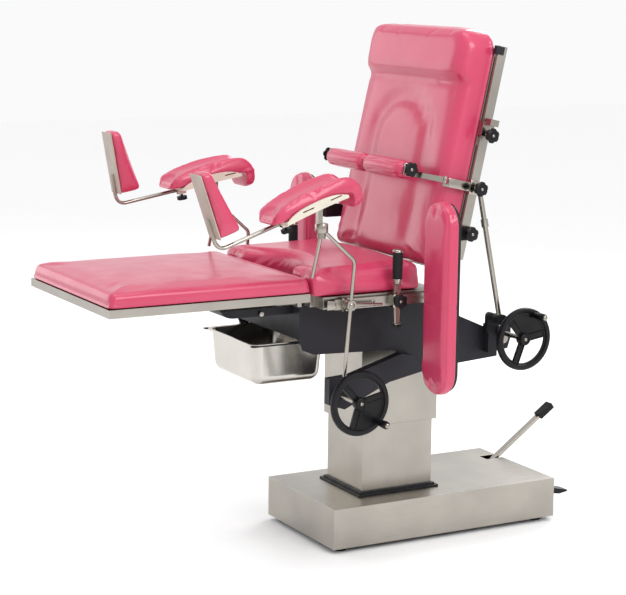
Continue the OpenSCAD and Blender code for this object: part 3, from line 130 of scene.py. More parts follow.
def finish(name, **sockets):
    """A new material: its tree, its shader with the values that hold all over, and its coordinates."""
    material = bpy.data.materials.new(name)
    material.use_nodes = True
    tree = material.node_tree
    shader = tree.nodes["Principled BSDF"]
    for key, value in sockets.items():
        shader.inputs[key.replace("_", " ")].default_value = value
    return material, tree, shader, add(tree, "ShaderNodeTexCoord").outputs["Object"]


def drift(tree, place, size, low, high, detail=2, **more):
    """A soft random value between low and high that changes over the given size in metres."""
    noise = add(tree, "ShaderNodeTexNoise", {"Vector": place, "Scale": 1 / size, "Detail": detail, **more})
    ranged = add(tree, "ShaderNodeMapRange", {
        "Value": noise.outputs["Fac"], "From Min": 0.3, "From Max": 0.7, "To Min": low, "To Max": high})
    return ranged.outputs["Result"]


def relief(tree, shader, heights):
    """Bumps one over another: each is a height socket and its depth in metres."""
    normal = None
    for height, depth in heights:
        takes = {"Height": height, "Distance": depth, "Strength": 1}
        if normal:
            takes["Normal"] = normal
        normal = add(tree, "ShaderNodeBump", takes).outputs["Normal"]
    tree.links.new(normal, shader.inputs["Normal"])


def between(tree, share, low, high):
    """A colour between two hex colours by a share socket."""
    takes = {"Factor": share, "A": linear(low), "B": linear(high)}
    return add(tree, "ShaderNodeMix", takes, data_type="RGBA").outputs[2]


def brushed_stainless(name, grain, tone, rough, depth):
    """Stainless steel rubbed with a belt: fine lines along the grain, which stretch each highlight."""
    material, tree, shader, place = finish(name, Metallic=1)
    along = add(tree, "ShaderNodeMapping", {"Vector": place, "Scale": grain})
    lines = add(tree, "ShaderNodeTexNoise", {
        "Vector": along.outputs[0], "Scale": 1, "Detail": 4, "Roughness": 0.7})
    fade = drift(tree, place, 0.18, 0, 1)
    mixed = add(tree, "ShaderNodeMath", {0: lines.outputs["Fac"], 1: fade}, operation="ADD")
    half = add(tree, "ShaderNodeMath", {0: mixed.outputs[0], 1: 0.5}, operation="MULTIPLY")
    colour = between(tree, half.outputs[0], *tone)
    tree.links.new(colour, shader.inputs["Base Color"])
    gloss = add(tree, "ShaderNodeMapRange", {
        "Value": lines.outputs["Fac"], "To Min": rough[0], "To Max": rough[1]})
    tree.links.new(gloss.outputs["Result"], shader.inputs["Roughness"])
    relief(tree, shader, [(lines.outputs["Fac"], depth)])
    return material


def plain_finish(name, tone, rough, grain, depth, **sockets):
    """A moulded or coated surface: tone and gloss drift a little, over a fine skin of the given grain."""
    material, tree, shader, place = finish(name, **sockets)
    share = drift(tree, place, 0.06, 0, 1, 3)
    tree.links.new(between(tree, share, *tone), shader.inputs["Base Color"])
    tree.links.new(drift(tree, place, 0.03, *rough), shader.inputs["Roughness"])
    skin = add(tree, "ShaderNodeTexNoise", {"Vector": place, "Scale": 1 / grain, "Detail": 2})
    relief(tree, shader, [(skin.outputs["Fac"], depth)])
    return material


leather_grain = 1.6 * mm
leather_creases = 160 * mm


def embossed_leather(name, hide, rough):
    """Polyurethane leather on foam: a pebbled grain, soft wide creases and a clear satin gloss."""
    material, tree, shader, place = finish(name, Specular_IOR_Level=0.5, Coat_Weight=0.4, Coat_Roughness=0.16)
    pebbles = add(tree, "ShaderNodeTexVoronoi", {
        "Vector": place, "Scale": 1 / leather_grain, "Randomness": 0.9}, feature="SMOOTH_F1")
    creases = add(tree, "ShaderNodeTexNoise", {
        "Vector": place, "Scale": 1 / leather_creases, "Detail": 2, "Distortion": 0.5})
    share = drift(tree, place, 0.3, 0, 1, 2)
    tree.links.new(between(tree, share, *hide), shader.inputs["Base Color"])
    tree.links.new(drift(tree, place, 0.08, *rough), shader.inputs["Roughness"])
    relief(tree, shader, [(creases.outputs["Fac"], 0.0014), (pebbles.outputs["Distance"], 0.00005)])
    return material


# Each metal: its grains to a metre along X, Y and Z, its two tones, its roughness, the depth of its lines.
# 700 to the metre, one in 1.4 mm, is coarser than a belt's grit, so that the grain shows in a render.

steel_tone = ("#96918A", "#B2ADA4")

# Sheet brushed along the table: warm grey, with wide soft highlights
sheet_along = brushed_stainless(
    "brushed_stainless_sheet", (9, 700, 700), steel_tone, (0.22, 0.36), 0.00004)
# The same sheet, brushed up and down the column
sheet_up = brushed_stainless(
    "brushed_stainless_column", (700, 700, 9), steel_tone, (0.24, 0.38), 0.00004)
# A pressed pan: paler, softly mottled, with no direction to its grain
drawn_steel = brushed_stainless(
    "satin_drawn_stainless", (60, 60, 60), ("#B6B2AA", "#CECAC3"), (0.16, 0.26), 0.00002)
# Ground and turned bar: darker, with narrow bright lines of light
bar_steel = brushed_stainless(
    "ground_steel_bar", (40, 400, 400), ("#8F8A82", "#ADA79E"), (0.14, 0.24), 0.00002)
# A polished ram, almost a mirror
chrome = brushed_stainless(
    "hard_chromed_ram", (80, 80, 900), ("#D8D8D8", "#E6E6E6"), (0.05, 0.09), 0.00001)

# Each coat or plastic: its two tones, its roughness, and the grain and depth of its skin in metres

# Powder coat on the underframe: near black with a blue cast, dull, a fine orange peel
charcoal_coat = plain_finish(
    "charcoal_powder_coat", ("#1C1B20", "#252329"), (0.38, 0.5), 0.0016, 0.00008, Specular_IOR_Level=0.25)
# Sprayed enamel: black and a little smoother
black_enamel = plain_finish(
    "black_enamel", ("#131215", "#1B1A1E"), (0.34, 0.46), 0.004, 0.00003, Specular_IOR_Level=0.3)
# Moulded wheels and knobs: the deepest black, with a soft shine
phenolic = plain_finish(
    "black_moulded_phenolic", ("#0C0B0D", "#131215"), (0.3, 0.42), 0.006, 0.00005, Specular_IOR_Level=0.22)
# Feet, sleeves and the pedal's pad: matt black with a grain that can be seen
rubber = plain_finish(
    "black_rubber", ("#121214", "#1A1A1C"), (0.62, 0.78), 0.0012, 0.00012, Specular_IOR_Level=0.25)
# The leg pads' shells: warm ivory plastic, satin
ivory = plain_finish("ivory_abs", ("#C6BFB0", "#D2CBBD"), (0.34, 0.46), 0.005, 0.00003)
# The foot rests' plates: beige grey, duller
plate_coat = plain_finish("grey_beige_abs", ("#9C9186", "#AFA497"), (0.4, 0.52), 0.004, 0.00004)
# The cushions: deep pink, pebbled, under a clear coat
leather = embossed_leather("pink_pu_leather", ("#B93054", "#C0385C"), (0.3, 0.38))

finishes = {
    sheet_along: "base_cover seat_frame leg_frame side_rails back_frame",
    sheet_up: "lower_column column_sleeve",
    drawn_steel: "basin",
    bar_steel: "pump_pedal rod_jaws strut_screw back_rail_clamps left_hand_grip right_hand_grip"
               " left_rod_clamp right_rod_clamp left_holder_rod right_holder_rod left_shoulder_arm"
               " right_shoulder_arm left_shoulder_clamp right_shoulder_clamp left_foot_bar right_foot_bar",
    chrome: "lift_ram",
    charcoal_coat: "base_chassis lift_jack column_head underframe front_gearbox rear_gearbox",
    black_enamel: "column_skirt strut_nut back_board left_arm_board right_arm_board",
    phenolic: "front_handwheel rear_handwheel front_crank_grip rear_crank_grip rail_knobs grip_jaws"
              " release_pedal",
    rubber: "levelling_feet pump_pedal_pad left_grip_sleeve right_grip_sleeve",
    ivory: "left_pad_shell right_pad_shell",
}
for material, names in finishes.items():
    for name in names.split():
        nodes[name].data.materials.clear()
        nodes[name].data.materials.append(material)


# Pressed and machined pieces keep their CAD form, with their edges rounded

rounded = {
    2.0: "base_cover lift_jack pump_pedal_pad release_pedal",
    1.2: "base_chassis column_skirt lower_column column_sleeve column_head underframe front_gearbox"
         " rear_gearbox seat_frame leg_frame back_frame back_board left_arm_board right_arm_board"
         " left_pad_shell right_pad_shell pump_pedal back_rail_clamps",
    0.7: "side_rails rod_jaws basin left_rod_clamp right_rod_clamp left_foot_bar right_foot_bar"
         " left_shoulder_arm right_shoulder_arm levelling_feet strut_nut strut_screw left_holder_rod"
         " right_holder_rod lift_ram",
}
for width, names in rounded.items():
    for name in names.split():
        weld = nodes[name].modifiers.new("weld", "WELD")
        weld.merge_threshold = 0.01 * mm
        flat = nodes[name].modifiers.new("flat", "DECIMATE")
        flat.decimate_type, flat.angle_limit = "DISSOLVE", math.radians(1)
        flat.delimit = {"MATERIAL"}
        edge = nodes[name].modifiers.new("edge", "BEVEL")
        edge.width, edge.segments = width * mm, 2
        edge.limit_method, edge.angle_limit = "ANGLE", math.radians(38)
        edge.harden_normals = True


# Soft goods


def deselect():
    """Leaves edit mode, with nothing selected."""
    if bpy.context.object and bpy.context.object.mode != "OBJECT":
        bpy.ops.object.mode_set(mode="OBJECT")
    bpy.ops.object.select_all(action="DESELECT")


def pick(piece):
    """Only this piece is selected, and active."""
    deselect()
    piece.select_set(True)
    bpy.context.view_layer.objects.active = piece


def node_copy(node, name):
    """A new piece with its own copy of a CAD node's mesh, its loose triangles merged."""
    mesh = nodes[node].data.copy()
    mesh.materials.clear()
    form = bmesh.new()
    form.from_mesh(mesh)
    bmesh.ops.remove_doubles(form, verts=form.verts, dist=0.01 * mm)
    form.to_mesh(mesh)
    form.free()
    piece = bpy.data.objects.new(name, mesh)
    bpy.context.scene.collection.objects.link(piece)
    return piece


def apply_all(piece):
    """Applies the piece's modifiers in their order."""
    pick(piece)
    for modifier in list(piece.modifiers):
        bpy.ops.object.modifier_apply(modifier=modifier.name)


def reach(mesh):
    """The low and high corners of a mesh's box."""
    places = [v.co for v in mesh.vertices]
    return [Vector([end(c[i] for c in places) for i in range(3)]) for end in (min, max)]


def draw_out(mesh, low, high):
    """Stretches a mesh evenly so that its box runs from one corner to the other."""
    was_low, was_high = reach(mesh)
    share = [(b - a) / (d - c) for a, b, c, d in zip(low, high, was_low, was_high)]
    mesh.transform(Matrix.Translation(low) @ Matrix.Diagonal((*share, 1)) @ Matrix.Translation(-was_low))


def groove(mesh, depth, width, away):
    """Presses a soft line into a cover; away measures from a place, with the cover's box, to the line."""
    places = [v.co.copy() for v in mesh.vertices]
    low, high = reach(mesh)
    inward = [-v.normal * depth for v in mesh.vertices]
    pressed = [c + move * math.exp(-(away(c, low, high) / width) ** 2) for c, move in zip(places, inward)]
    mesh.vertices.foreach_set("co", [value for place in pressed for value in place])
    mesh.update()


swell = 1.5 * mm
rim_band = 26 * mm
air_pressure = 4
settling = 20


def upholster(piece, lay, cell, inset, cap, base=None, lines=(), wrap=0, longer=0):
    """Makes a padded cover of a form: even cells, then air pressure swells it from its flat base.

    lay turns the form base down. inset draws the form in before the air goes in, and cap is the furthest
    that the air may move it. The finished cover reaches as far as the form and the swell; longer adds to
    its far end. wrap draws its rim down past the base, as leather is drawn round a board.
    """
    piece.data.transform(lay)
    low, high = reach(piece.data)
    if base is None:
        base = low.z
    piece.modifiers.new("cells", "REMESH").mode = "VOXEL"
    piece.modifiers["cells"].voxel_size = cell
    even = piece.modifiers.new("even", "SMOOTH")
    even.factor, even.iterations = 0.5, 5
    apply_all(piece)
    mesh = piece.data
    start = [v.co - v.normal * inset * min(1, abs(v.co.z - base) / (cell * 2)) for v in mesh.vertices]
    mesh.vertices.foreach_set("co", [c for place in start for c in place])
    mesh.update()
    seat = piece.vertex_groups.new(name="seat")
    seat.add([v.index for v in mesh.vertices if abs(v.co.z - base) < cell * 0.8], 1, "REPLACE")
    cover = piece.modifiers.new("cover", "CLOTH")
    settings = cover.settings
    settings.use_pressure, settings.uniform_pressure_force = True, air_pressure
    settings.effector_weights.gravity = 0
    settings.vertex_group_mass = "seat"
    settings.quality = 5
    cover.point_cache.frame_end = settling
    for number in range(1, settling + 1):
        bpy.context.scene.frame_set(number)
    apply_all(piece)
    mesh = piece.data
    moves = [v.co - was for v, was in zip(mesh.vertices, start)]
    capped = [was + move * min(1, cap / max(move.length, 1e-9)) for was, move in zip(start, moves)]
    mesh.vertices.foreach_set("co", [c for place in capped for c in place])
    mesh.update()
    bpy.context.scene.frame_set(1)
    piece.vertex_groups.clear()
    fine = piece.modifiers.new("fine", "SUBSURF")
    fine.levels = fine.render_levels = 1
    apply_all(piece)
    draw_out(piece.data, low - Vector((swell, swell, 0)), high + Vector((swell + longer, swell, swell)))
    if wrap:
        low, high = reach(piece.data)
        for v in piece.data.vertices:
            edge = min(high.x - v.co.x, v.co.y - low.y, high.y - v.co.y)
            v.co.z -= wrap * max(0, 1 - edge / rim_band) ** 0.5 * (high.z - v.co.z) / (high.z - low.z)
        piece.data.update()
    for depth, width, away in lines:
        groove(piece.data, depth, width, away)
    for polygon in piece.data.polygons:
        polygon.use_smooth = True
    piece.data.transform(lay.inverted())
    piece.data.materials.append(leather)


def upright(x, y, z, lean):
    """Lays down a piece that stands on a hinge, faces -X and leans back: its length to X, its face up."""
    return (Matrix.Rotation(math.radians(90), 4, "Y") @ Matrix.Rotation(math.radians(-lean), 4, "Y")
            @ Matrix.Translation((-x * mm, -y * mm, -z * mm)))


on_back = upright(*hinge, back_lean)
level = Matrix.Identity(4)
pillow_foot = 617 * mm
arch_foot, arch_r = 408 * mm, 158 * mm
seam_height = 790 * mm


def arch(c, low, high):
    """How far a place lies from the back's arch: two lines that meet in a half circle below the pillow."""
    return math.hypot(max(c.x - arch_foot, 0), c.y) - arch_r if c.x < pillow_foot else 1


def face_seam(c, low, high):
    """How far a place on an arm pad lies from the seam around its face."""
    return c.z - high.z + 9 * mm


def cross_seam(c, low, high):
    """How far a place on an arm pad lies from its level seam."""
    return c.x - seam_height


def fold(share):
    """A wavy fold along a shoulder pad, at a share of its width."""
    return lambda c, low, high: c.x - low.x - (high.x - low.x) * share - 3 * mm * math.sin(c.y * 45)


# Each cover: how it is laid, its cell, inset and cap in mm, its base if not the lowest place, and its lines,
# each with a depth and a width

seam = (1.6 * mm, 2.5 * mm)
soft_nodes = {
    "back_cushion": (on_back, 7, 3, 7, None, [(3 * mm, 36 * mm, arch)]),
    "seat_cushion": (level, 7, 3, 7, None, []),
    "leg_cushion": (level, 7, 2.5, 5, None, []),
}
on_pin = {}
for side in sides:
    pitched = Matrix.Rotation(math.radians(pad_pitch[side]), 4, "Y")
    on_pin[side] = pitched @ Matrix.Translation((-pad_pin[0] * mm, 0, -pad_pin[1] * mm))
    soft_nodes[side + "_arm_pad"] = (
        upright(0, 0, 0, 0), 5, 2, 3, None, [(*seam, face_seam), (*seam, cross_seam)])
    soft_nodes[side + "_shoulder_pad"] = (
        on_back, 4, 2, 4, None, [(1.8 * mm, 3 * mm, fold(share)) for share in (0.2, 0.78)])
    soft_nodes[side + "_thigh_pad"] = (on_pin[side], 4, 2, 4, 21.9 * mm, [])
    soft_nodes[side + "_foot_pad"] = (pitched @ upright(0, 0, 0, 0), 4, 1.5, 3, None, [])
board_wrap = {"back_cushion": 16 * mm}
overhang = {"leg_cushion": 9 * mm}
bodies = frame["record"]["behaviour"]["bodies"]
body_of_node = {node: body for body, members in bodies.items() for node in members}
for node, (lay, cell, inset, cap, base, lines) in soft_nodes.items():
    cover = node_copy(node, node + "_cover")
    upholster(cover, lay, cell * mm, inset * mm, cap * mm, base, lines,
              board_wrap.get(node, 0), overhang.get(node, 0))
    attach(cover, body_of_node[node])
    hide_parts(node)


# Second finishes on parts of the CAD pieces


def paint(node, coat, inside):
    """Gives those faces of a node whose middle passes the test a second finish."""
    mesh = nodes[node].data
    mesh.materials.append(coat)
    for face in mesh.polygons:
        if inside(face.center):
            face.material_index = 1


# A leg pad's knob lies in the lowest 22 mm of its shell, and a foot rest's plate within 9 mm of its pad

knob_h = 22 * mm
plate_band = 9 * mm
for side in sides:
    lay = on_pin[side]
    lowest = min((lay @ v.co).z for v in nodes[side + "_pad_shell"].data.vertices)
    paint(side + "_pad_shell", phenolic,
          lambda c: (lay @ c).z < lowest + knob_h and (lay @ c).x < -70 * mm)
    low, high = reach(nodes[side + "_foot_pad"].data)
    paint(side + "_foot_bar", plate_coat,
          lambda c: all(a - plate_band < value < b + plate_band for a, value, b in zip(low, c, high)))


# Hard pieces: shaped from Blender's primitives, in millimetres, and laid in place


def form(kind, **settings):
    """A new primitive at the origin, with nothing else selected."""
    deselect()
    getattr(bpy.ops.mesh, "primitive_" + kind + "_add")(location=(0, 0, 0), **settings)
    return bpy.context.object


def soften(piece, width, segments=2, angle=35):
    """Rounds the piece's sharp edges by a width in millimetres."""
    edge = piece.modifiers.new("edge", "BEVEL")
    edge.width, edge.segments, edge.angle_limit = width * mm, segments, math.radians(angle)
    edge.limit_method = "ANGLE"
    apply_all(piece)


def smooth(piece, angle=40):
    """Smooth shading that keeps the edges sharper than the angle."""
    pick(piece)
    bpy.ops.object.shade_smooth_by_angle(angle=math.radians(angle))
    return piece


def turned(profile, coat, steps=40):
    """A lathe part along Z: a circle drawn out ring by ring through a profile of radii and heights."""
    piece = form("circle", vertices=steps, radius=profile[0][0] * mm)
    bpy.ops.object.mode_set(mode="EDIT")
    bpy.ops.mesh.select_all(action="SELECT")
    bpy.ops.transform.translate(value=(0, 0, profile[0][1] * mm))
    for (r0, z0), (r1, z1) in zip(profile, profile[1:]):
        bpy.ops.mesh.extrude_edges_move(TRANSFORM_OT_translate={"value": (0, 0, (z1 - z0) * mm)})
        bpy.ops.transform.resize(value=(r1 / r0, r1 / r0, 1), center_override=(0, 0, 0))
    bpy.ops.mesh.select_all(action="SELECT")
    bpy.ops.mesh.remove_doubles(threshold=0.02 * mm)
    bpy.ops.mesh.normals_make_consistent(inside=False)
    bpy.ops.object.mode_set(mode="OBJECT")
    piece.data.materials.append(coat)
    return smooth(piece)


def block(low, high, coat, edge=0.8, rows=2):
    """A box between two corners with rounded edges."""
    piece = form("cube", size=1)
    bpy.ops.object.mode_set(mode="EDIT")
    bpy.ops.transform.resize(value=[(b - a) * mm for a, b in zip(low, high)], center_override=(0, 0, 0))
    bpy.ops.transform.translate(value=[(a + b) / 2 * mm for a, b in zip(low, high)])
    bpy.ops.object.mode_set(mode="OBJECT")
    soften(piece, edge, rows)
    piece.data.materials.append(coat)
    return smooth(piece)


def side_block(sign, low, high, coat, edge=0.8):
    """A block on the table's side that the sign gives; the Y of its corners counts outward."""
    y0, y1 = sorted((sign * low[1], sign * high[1]))
    return block((low[0], y0, low[2]), (high[0], y1, high[2]), coat, edge)


def choose(piece, parts, test):
    """Of a piece that is being edited, selects only the faces or the edges that pass a test."""
    bpy.ops.mesh.select_all(action="DESELECT")
    bpy.ops.object.mode_set(mode="OBJECT")
    for part in getattr(piece.data, parts):
        part.select = test(part)
    bpy.ops.object.mode_set(mode="EDIT")


def carve(piece, tool):
    """Cuts the tool out of the piece."""
    hole = piece.modifiers.new("hole", "BOOLEAN")
    hole.object, hole.operation, hole.solver = tool, "DIFFERENCE", "EXACT"
    apply_all(piece)
    bpy.data.objects.remove(tool)


def laid(piece, *turns):
    """Moves the piece's mesh by the turns, the last one first, and gives the piece back."""
    for turn in reversed(turns):
        piece.data.transform(turn)
    return piece


def shift(x, y, z):
    """A move in millimetres."""
    return Matrix.Translation((x * mm, y * mm, z * mm))


def squashed(share):
    """Makes a piece lower along Z."""
    return Matrix.Diagonal((1, 1, share, 1))


def about(axis, degrees):
    """A turn about an axis through the origin."""
    return Matrix.Rotation(math.radians(degrees), 4, axis)


def twin(piece):
    """A copy with its own mesh."""
    copy = piece.copy()
    copy.data = piece.data.copy()
    bpy.context.scene.collection.objects.link(copy)
    return copy


def fused(parts):
    """Joins the parts into the first of them."""
    pick(parts[0])
    for part in parts[1:]:
        part.select_set(True)
    bpy.ops.object.join()
    return bpy.context.object


def joined(name, parts, node=None, body=None):
    """One piece out of several: it stands for a CAD node and rides with it, or only rides with a body."""
    piece = fused(parts)
    piece.name = name
    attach(piece, body or body_of_node[node])
    if node:
        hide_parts(node)
    return piece


# A lathe profile starts on a ring too small to see, because a ring of no size can't be drawn out

tip = 0.005
outward = {"left": about("X", 90), "right": about("X", -90)}
table = shift(column_x, 0, 0)
back = shift(*hinge) @ about("Y", back_lean)


def screw_head(r, h, coat):
    """A domed screw head with a small recess, its seat at the origin."""
    return turned([(tip, 0), (r, 0), (r, h * 0.4), (r * 0.86, h * 0.75), (r * 0.5, h), (r * 0.42, h),
                   (r * 0.3, h * 0.6), (tip, h * 0.6)], coat, 24)


def star_knob(r, h):
    """A moulded six-lobed knob on its screw, along Z from the face it tightens on; h is its top's height."""
    base = h - 16
    core = turned([(tip, base), (r * 0.5, base), (r * 0.62, base + 3), (r, base + 4.5), (r, base + 12.5),
                   (r * 0.86, base + 15), (r * 0.4, base + 16), (tip, base + 16)], phenolic, 60)
    for turn in range(0, 360, 60):
        tool = form("cylinder", vertices=32, radius=r * 0.42 * mm, depth=60 * mm)
        carve(core, laid(tool, about("Z", turn), shift(r * 1.26, 0, base)))
    soften(core, 1.6, 3, 38)
    smooth(core)
    insert = laid(screw_head(r * 0.2, 2.2, bar_steel), shift(0, 0, h - 0.6))
    stem = turned([(5, 0), (5, 1), (4.6, 1.5), (4.6, base + 1), (tip, base + 1)], bar_steel, 24)
    return fused([core, insert, stem])


# Crank wheels: a thick ringed rim, three flanged spokes, a web beside the grip, and a hub with a bright screw

grip_orbit = 79.5
rim = turned([(79.5, -7), (81.5, -9.6), (88, -10.6), (94, -8.6), (97, -3.5), (97, 3.5), (94, 8.6),
              (88, 10.6), (81.5, 9.6), (79.5, 7), (79.5, 4.6), (75.5, 3.4), (75.5, -3.4), (79.5, -4.6),
              (79.5, -7)], phenolic, 72)
web_hub, web_r = 15, 78
web = form("circle", vertices=90, radius=web_hub * mm)
bpy.ops.object.mode_set(mode="EDIT")
bpy.ops.mesh.select_all(action="SELECT")
bpy.ops.mesh.extrude_edges_move(TRANSFORM_OT_translate={"value": (0, 0, 0)})
bpy.ops.transform.resize(value=(web_r / web_hub, web_r / web_hub, 1), center_override=(0, 0, 0))
choose(web, "polygons", lambda face: abs(math.degrees(math.atan2(face.center.y, face.center.x))) > 60)
bpy.ops.mesh.delete(type="FACE")
bpy.ops.mesh.select_all(action="SELECT")
bpy.ops.mesh.inset(thickness=9 * mm, depth=0)
bpy.ops.transform.translate(value=(0, 0, -1.6 * mm))
bpy.ops.object.mode_set(mode="OBJECT")
thick = web.modifiers.new("thick", "SOLIDIFY")
thick.thickness, thick.offset = 5 * mm, 0
soften(web, 0.9, 2, 20)
web.data.materials.append(phenolic)
parts = [rim, smooth(web)]
# A spoke is a plate with a flange along each side

spoke = [((16, -10, -3), (78, 10, 3)), ((18, -10.6, -5.2), (79, -7, 5.2)), ((18, 7, -5.2), (79, 10.6, 5.2))]
for turn in (60, 180, 300):
    for low, high in spoke:
        parts.append(laid(block(low, high, phenolic, 1.2), about("Z", turn)))
parts.append(turned([(tip, -14), (16, -14), (19, -11), (19, 10), (17, 13.4), (15, 14.4), (12.5, 14.4),
                     (11.5, 12.6), (tip, 12.6)], phenolic))
parts.append(laid(screw_head(5.5, 3, bar_steel), shift(0, 0, 12.6)))
parts.append(turned([(8, -116), (8, -13)], bar_steel, 32))
boss = turned([(tip, -4), (9, -4), (11, -2), (11, 6), (9.5, 9), (tip, 9)], phenolic, 32)
parts.append(laid(boss, shift(grip_orbit, 0, 0)))
wheel = fused(parts)
crank = turned([(tip, 9.4), (7.2, 9.4), (8.6, 11), (8.2, 17), (9.4, 26), (11.4, 44), (12, 58), (11.4, 65),
                (9.4, 68.6), (8, 69)], phenolic, 36)
cap = turned([(8, 69), (8.2, 70.4), (7.4, 72.6), (5, 74.4), (tip, 75.2)], bar_steel, 36)
crank = laid(fused([crank, cap]), shift(grip_orbit, 0, 0))

# Each wheel's axis by its X and Z, and the turn of its grip

wheels = {"front": (-288, 504, -47), "rear": (288, 646, 69)}
for place, (x, z, turn) in wheels.items():
    seat = shift(column_x + x, wheel_y, z) @ about("Y", -turn) @ about("X", 90)
    for part, what in ((wheel, "_handwheel"), (crank, "_crank_grip")):
        piece = laid(twin(part), seat)
        piece.name = place + what + "_cast"
        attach(piece, body_of_node[place + what])
        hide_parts(place + what)
bpy.data.objects.remove(wheel)
bpy.data.objects.remove(crank)

# Star knobs and the clamps that they tighten

knob = star_knob(22.5, 38)
for_rails = []
for side, sign in sides.items():
    for up in (185, 484):
        for_rails.append(laid(twin(knob), back, shift(0, sign * 310, up), outward[side]))
joined("rail_star_knobs", for_rails, "rail_knobs")
jaws = []
for side, sign in sides.items():
    jaw = side_block(sign, (-17.6, 308, -19), (17.6, 331.6, 19), bar_steel, 1.4)
    carve(jaw, side_block(sign, (-30, 300, -15.3), (30, 316.3, 15.3), bar_steel))
    carve(jaw, side_block(sign, (-10.3, 319.7, -30), (10.3, 326.3, 30), bar_steel))
    jaws.append(laid(smooth(jaw, 30), table, shift(grip_x, 0, rail_z)))
    jaws.append(laid(twin(knob), table, shift(grip_x, sign * 331, rail_z), outward[side], squashed(0.42)))
joined("grip_clamps", jaws, "grip_jaws")
for side, sign in sides.items():
    place = back @ shift(0, 0, 322)
    grip = side_block(sign, (-19, 289, -22), (22.6, 310, 22), bar_steel, 1.6)
    carve(grip, side_block(sign, (-13.35, 280, -40), (16.95, 300.15, 40), bar_steel))
    arm = side_block(sign, (-97, 304, -13.5), (-13, 308, 13.5), bar_steel, 0.7)
    tab = side_block(sign, (-109, 304, -13.5), (-94.6, 308, -4.6), bar_steel, 0.7)
    pin = turned([(tip, -15), (4.6, -15), (6, -14), (6, -4.6), (3, -4.6), (3, 14), (5, 14), (5, 16), (4, 17),
                  (tip, 17)], bar_steel, 28)
    parts = [smooth(grip, 30), arm, tab, laid(pin, shift(-109, sign * 304, 0))]
    parts = [laid(part, place) for part in parts]
    parts.append(laid(twin(knob), place, shift(0, sign * 310, 0), outward[side]))
    joined(side + "_shoulder_bracket", parts, side + "_shoulder_clamp")
for side, sign in sides.items():
    place = on_back.inverted() @ shift(337, sign * 222, 196)
    clip = side_block(sign, (-17, -3, -13), (17, 10, 13), bar_steel, 2)
    clip_knob = laid(twin(knob), place, shift(0, sign * 9, 0), outward[side], squashed(0.55))
    joined(side + "_shoulder_clip", [laid(clip, place), clip_knob], body=body_of_node[side + "_shoulder_pad"])
bpy.data.objects.remove(knob)

# Hand grips: a flat bar with a rounded end, a bright collar, a black grip between bright rings

for side, sign in sides.items():
    place = table @ shift(grip_x, sign * 323, 0)
    bar = block((-10, -3, 716), (10, 3, 848), bar_steel, 0.01, 1)
    pick(bar)
    for edge in bar.data.edges:
        a, b = (bar.data.vertices[i].co for i in edge.vertices)
        edge.select = abs(a.y - b.y) > 5 * mm and a.z < 720 * mm
    bpy.ops.object.mode_set(mode="EDIT")
    bpy.ops.mesh.select_mode(type="EDGE")
    bpy.ops.mesh.bevel(offset=9.8 * mm, segments=8)
    bpy.ops.object.mode_set(mode="OBJECT")
    soften(bar, 0.7)
    collar = turned([(tip, 840), (9, 840), (12.4, 843), (12.4, 850.5), (11, 853), (tip, 853)], bar_steel, 36)
    joined(side + "_grip_bar", [laid(smooth(bar), place), laid(collar, place)], side + "_hand_grip")
    sleeve = turned([(tip, 856.5), (13.6, 856.5), (14.6, 858), (14.2, 866), (15.1, 880), (15.3, 905),
                     (15, 925), (14.8, 936), (tip, 936)], rubber, 40)
    low_ring = turned([(tip, 853), (15, 853), (15.5, 853.6), (15.5, 856), (15, 856.6), (tip, 856.6)],
                      bar_steel, 40)
    cap = turned([(tip, 936), (15.6, 936), (16.2, 936.8), (16.2, 940), (15, 942.6), (11, 944.6),
                  (tip, 945.6)], bar_steel, 40)
    joined(side + "_grip", [laid(part, place) for part in (sleeve, low_ring, cap)], side + "_grip_sleeve")

# Small fittings on the CAD pieces

ribs_foot, rib_pitch = -28, 4.2
for side, sign in sides.items():
    socket = shift(column_x - 410.4, sign * holder_y, 1021.9)
    ribs = [(tip, ribs_foot)]
    for i in range(5):
        low = ribs_foot + i * rib_pitch
        ribs += [(11.2, low), (12.4, low + 0.9), (12.4, low + 3), (11.2, low + 3.9)]
    ribs += [(11.4, -9.6), (18.4, -8.6), (19, -7.4), (19, 12.6), (17.6, 15.2), (9, 16.6), (tip, 16.8)]
    joined(side + "_ribbed_socket", [laid(turned(ribs, bar_steel, 40), socket)],
           body=body_of_node[side + "_holder_rod"])
    bolts = [laid(screw_head(5, 2.6, bar_steel), table, shift(x, sign * rail_face, rail_z), outward[side])
             for x in (-360, -222, -50)]
    joined(side + "_rail_screws", bolts, body=body_of_node["side_rails"])
disc = turned([(tip, 0), (15, 0), (16, 1.4), (16, 6), (14.6, 7.4), (9, 8), (8, 7), (tip, 7)], bar_steel, 40)
joined("gearbox_disc", [laid(disc, table, shift(300, -234, 625), outward["left"])],
       body=body_of_node["rear_gearbox"])


# Basin: a deep-drawn pan with wide round corners and a turned-down rim

pan_l, pan_w, pan_h, corner_r = 241 * mm, 301 * mm, 128 * mm, 30 * mm
rim_l, rim_w, rim_h = 262 * mm, 322 * mm, 5 * mm
pan_taper = (0.93, 0.94, 1)
pan_x, pan_top = -407.5, 658.5
sheet_t = 1.2 * mm
pan = form("cube", size=1)
bpy.ops.object.mode_set(mode="EDIT")
bpy.ops.transform.resize(value=(pan_l, pan_w, pan_h), center_override=(0, 0, 0))
bpy.ops.transform.translate(value=(0, 0, -pan_h / 2))
choose(pan, "polygons", lambda face: face.normal.z < -0.9)
bpy.ops.transform.resize(value=pan_taper, center_override=(0, 0, -pan_h))
choose(pan, "polygons", lambda face: face.normal.z > 0.9)
bpy.ops.mesh.delete(type="ONLY_FACE")
bpy.ops.mesh.select_mode(type="EDGE")
choose(pan, "edges", lambda edge: any(pan.data.vertices[i].co.z < -10 * mm for i in edge.vertices))
bpy.ops.mesh.bevel(offset=corner_r, segments=8)
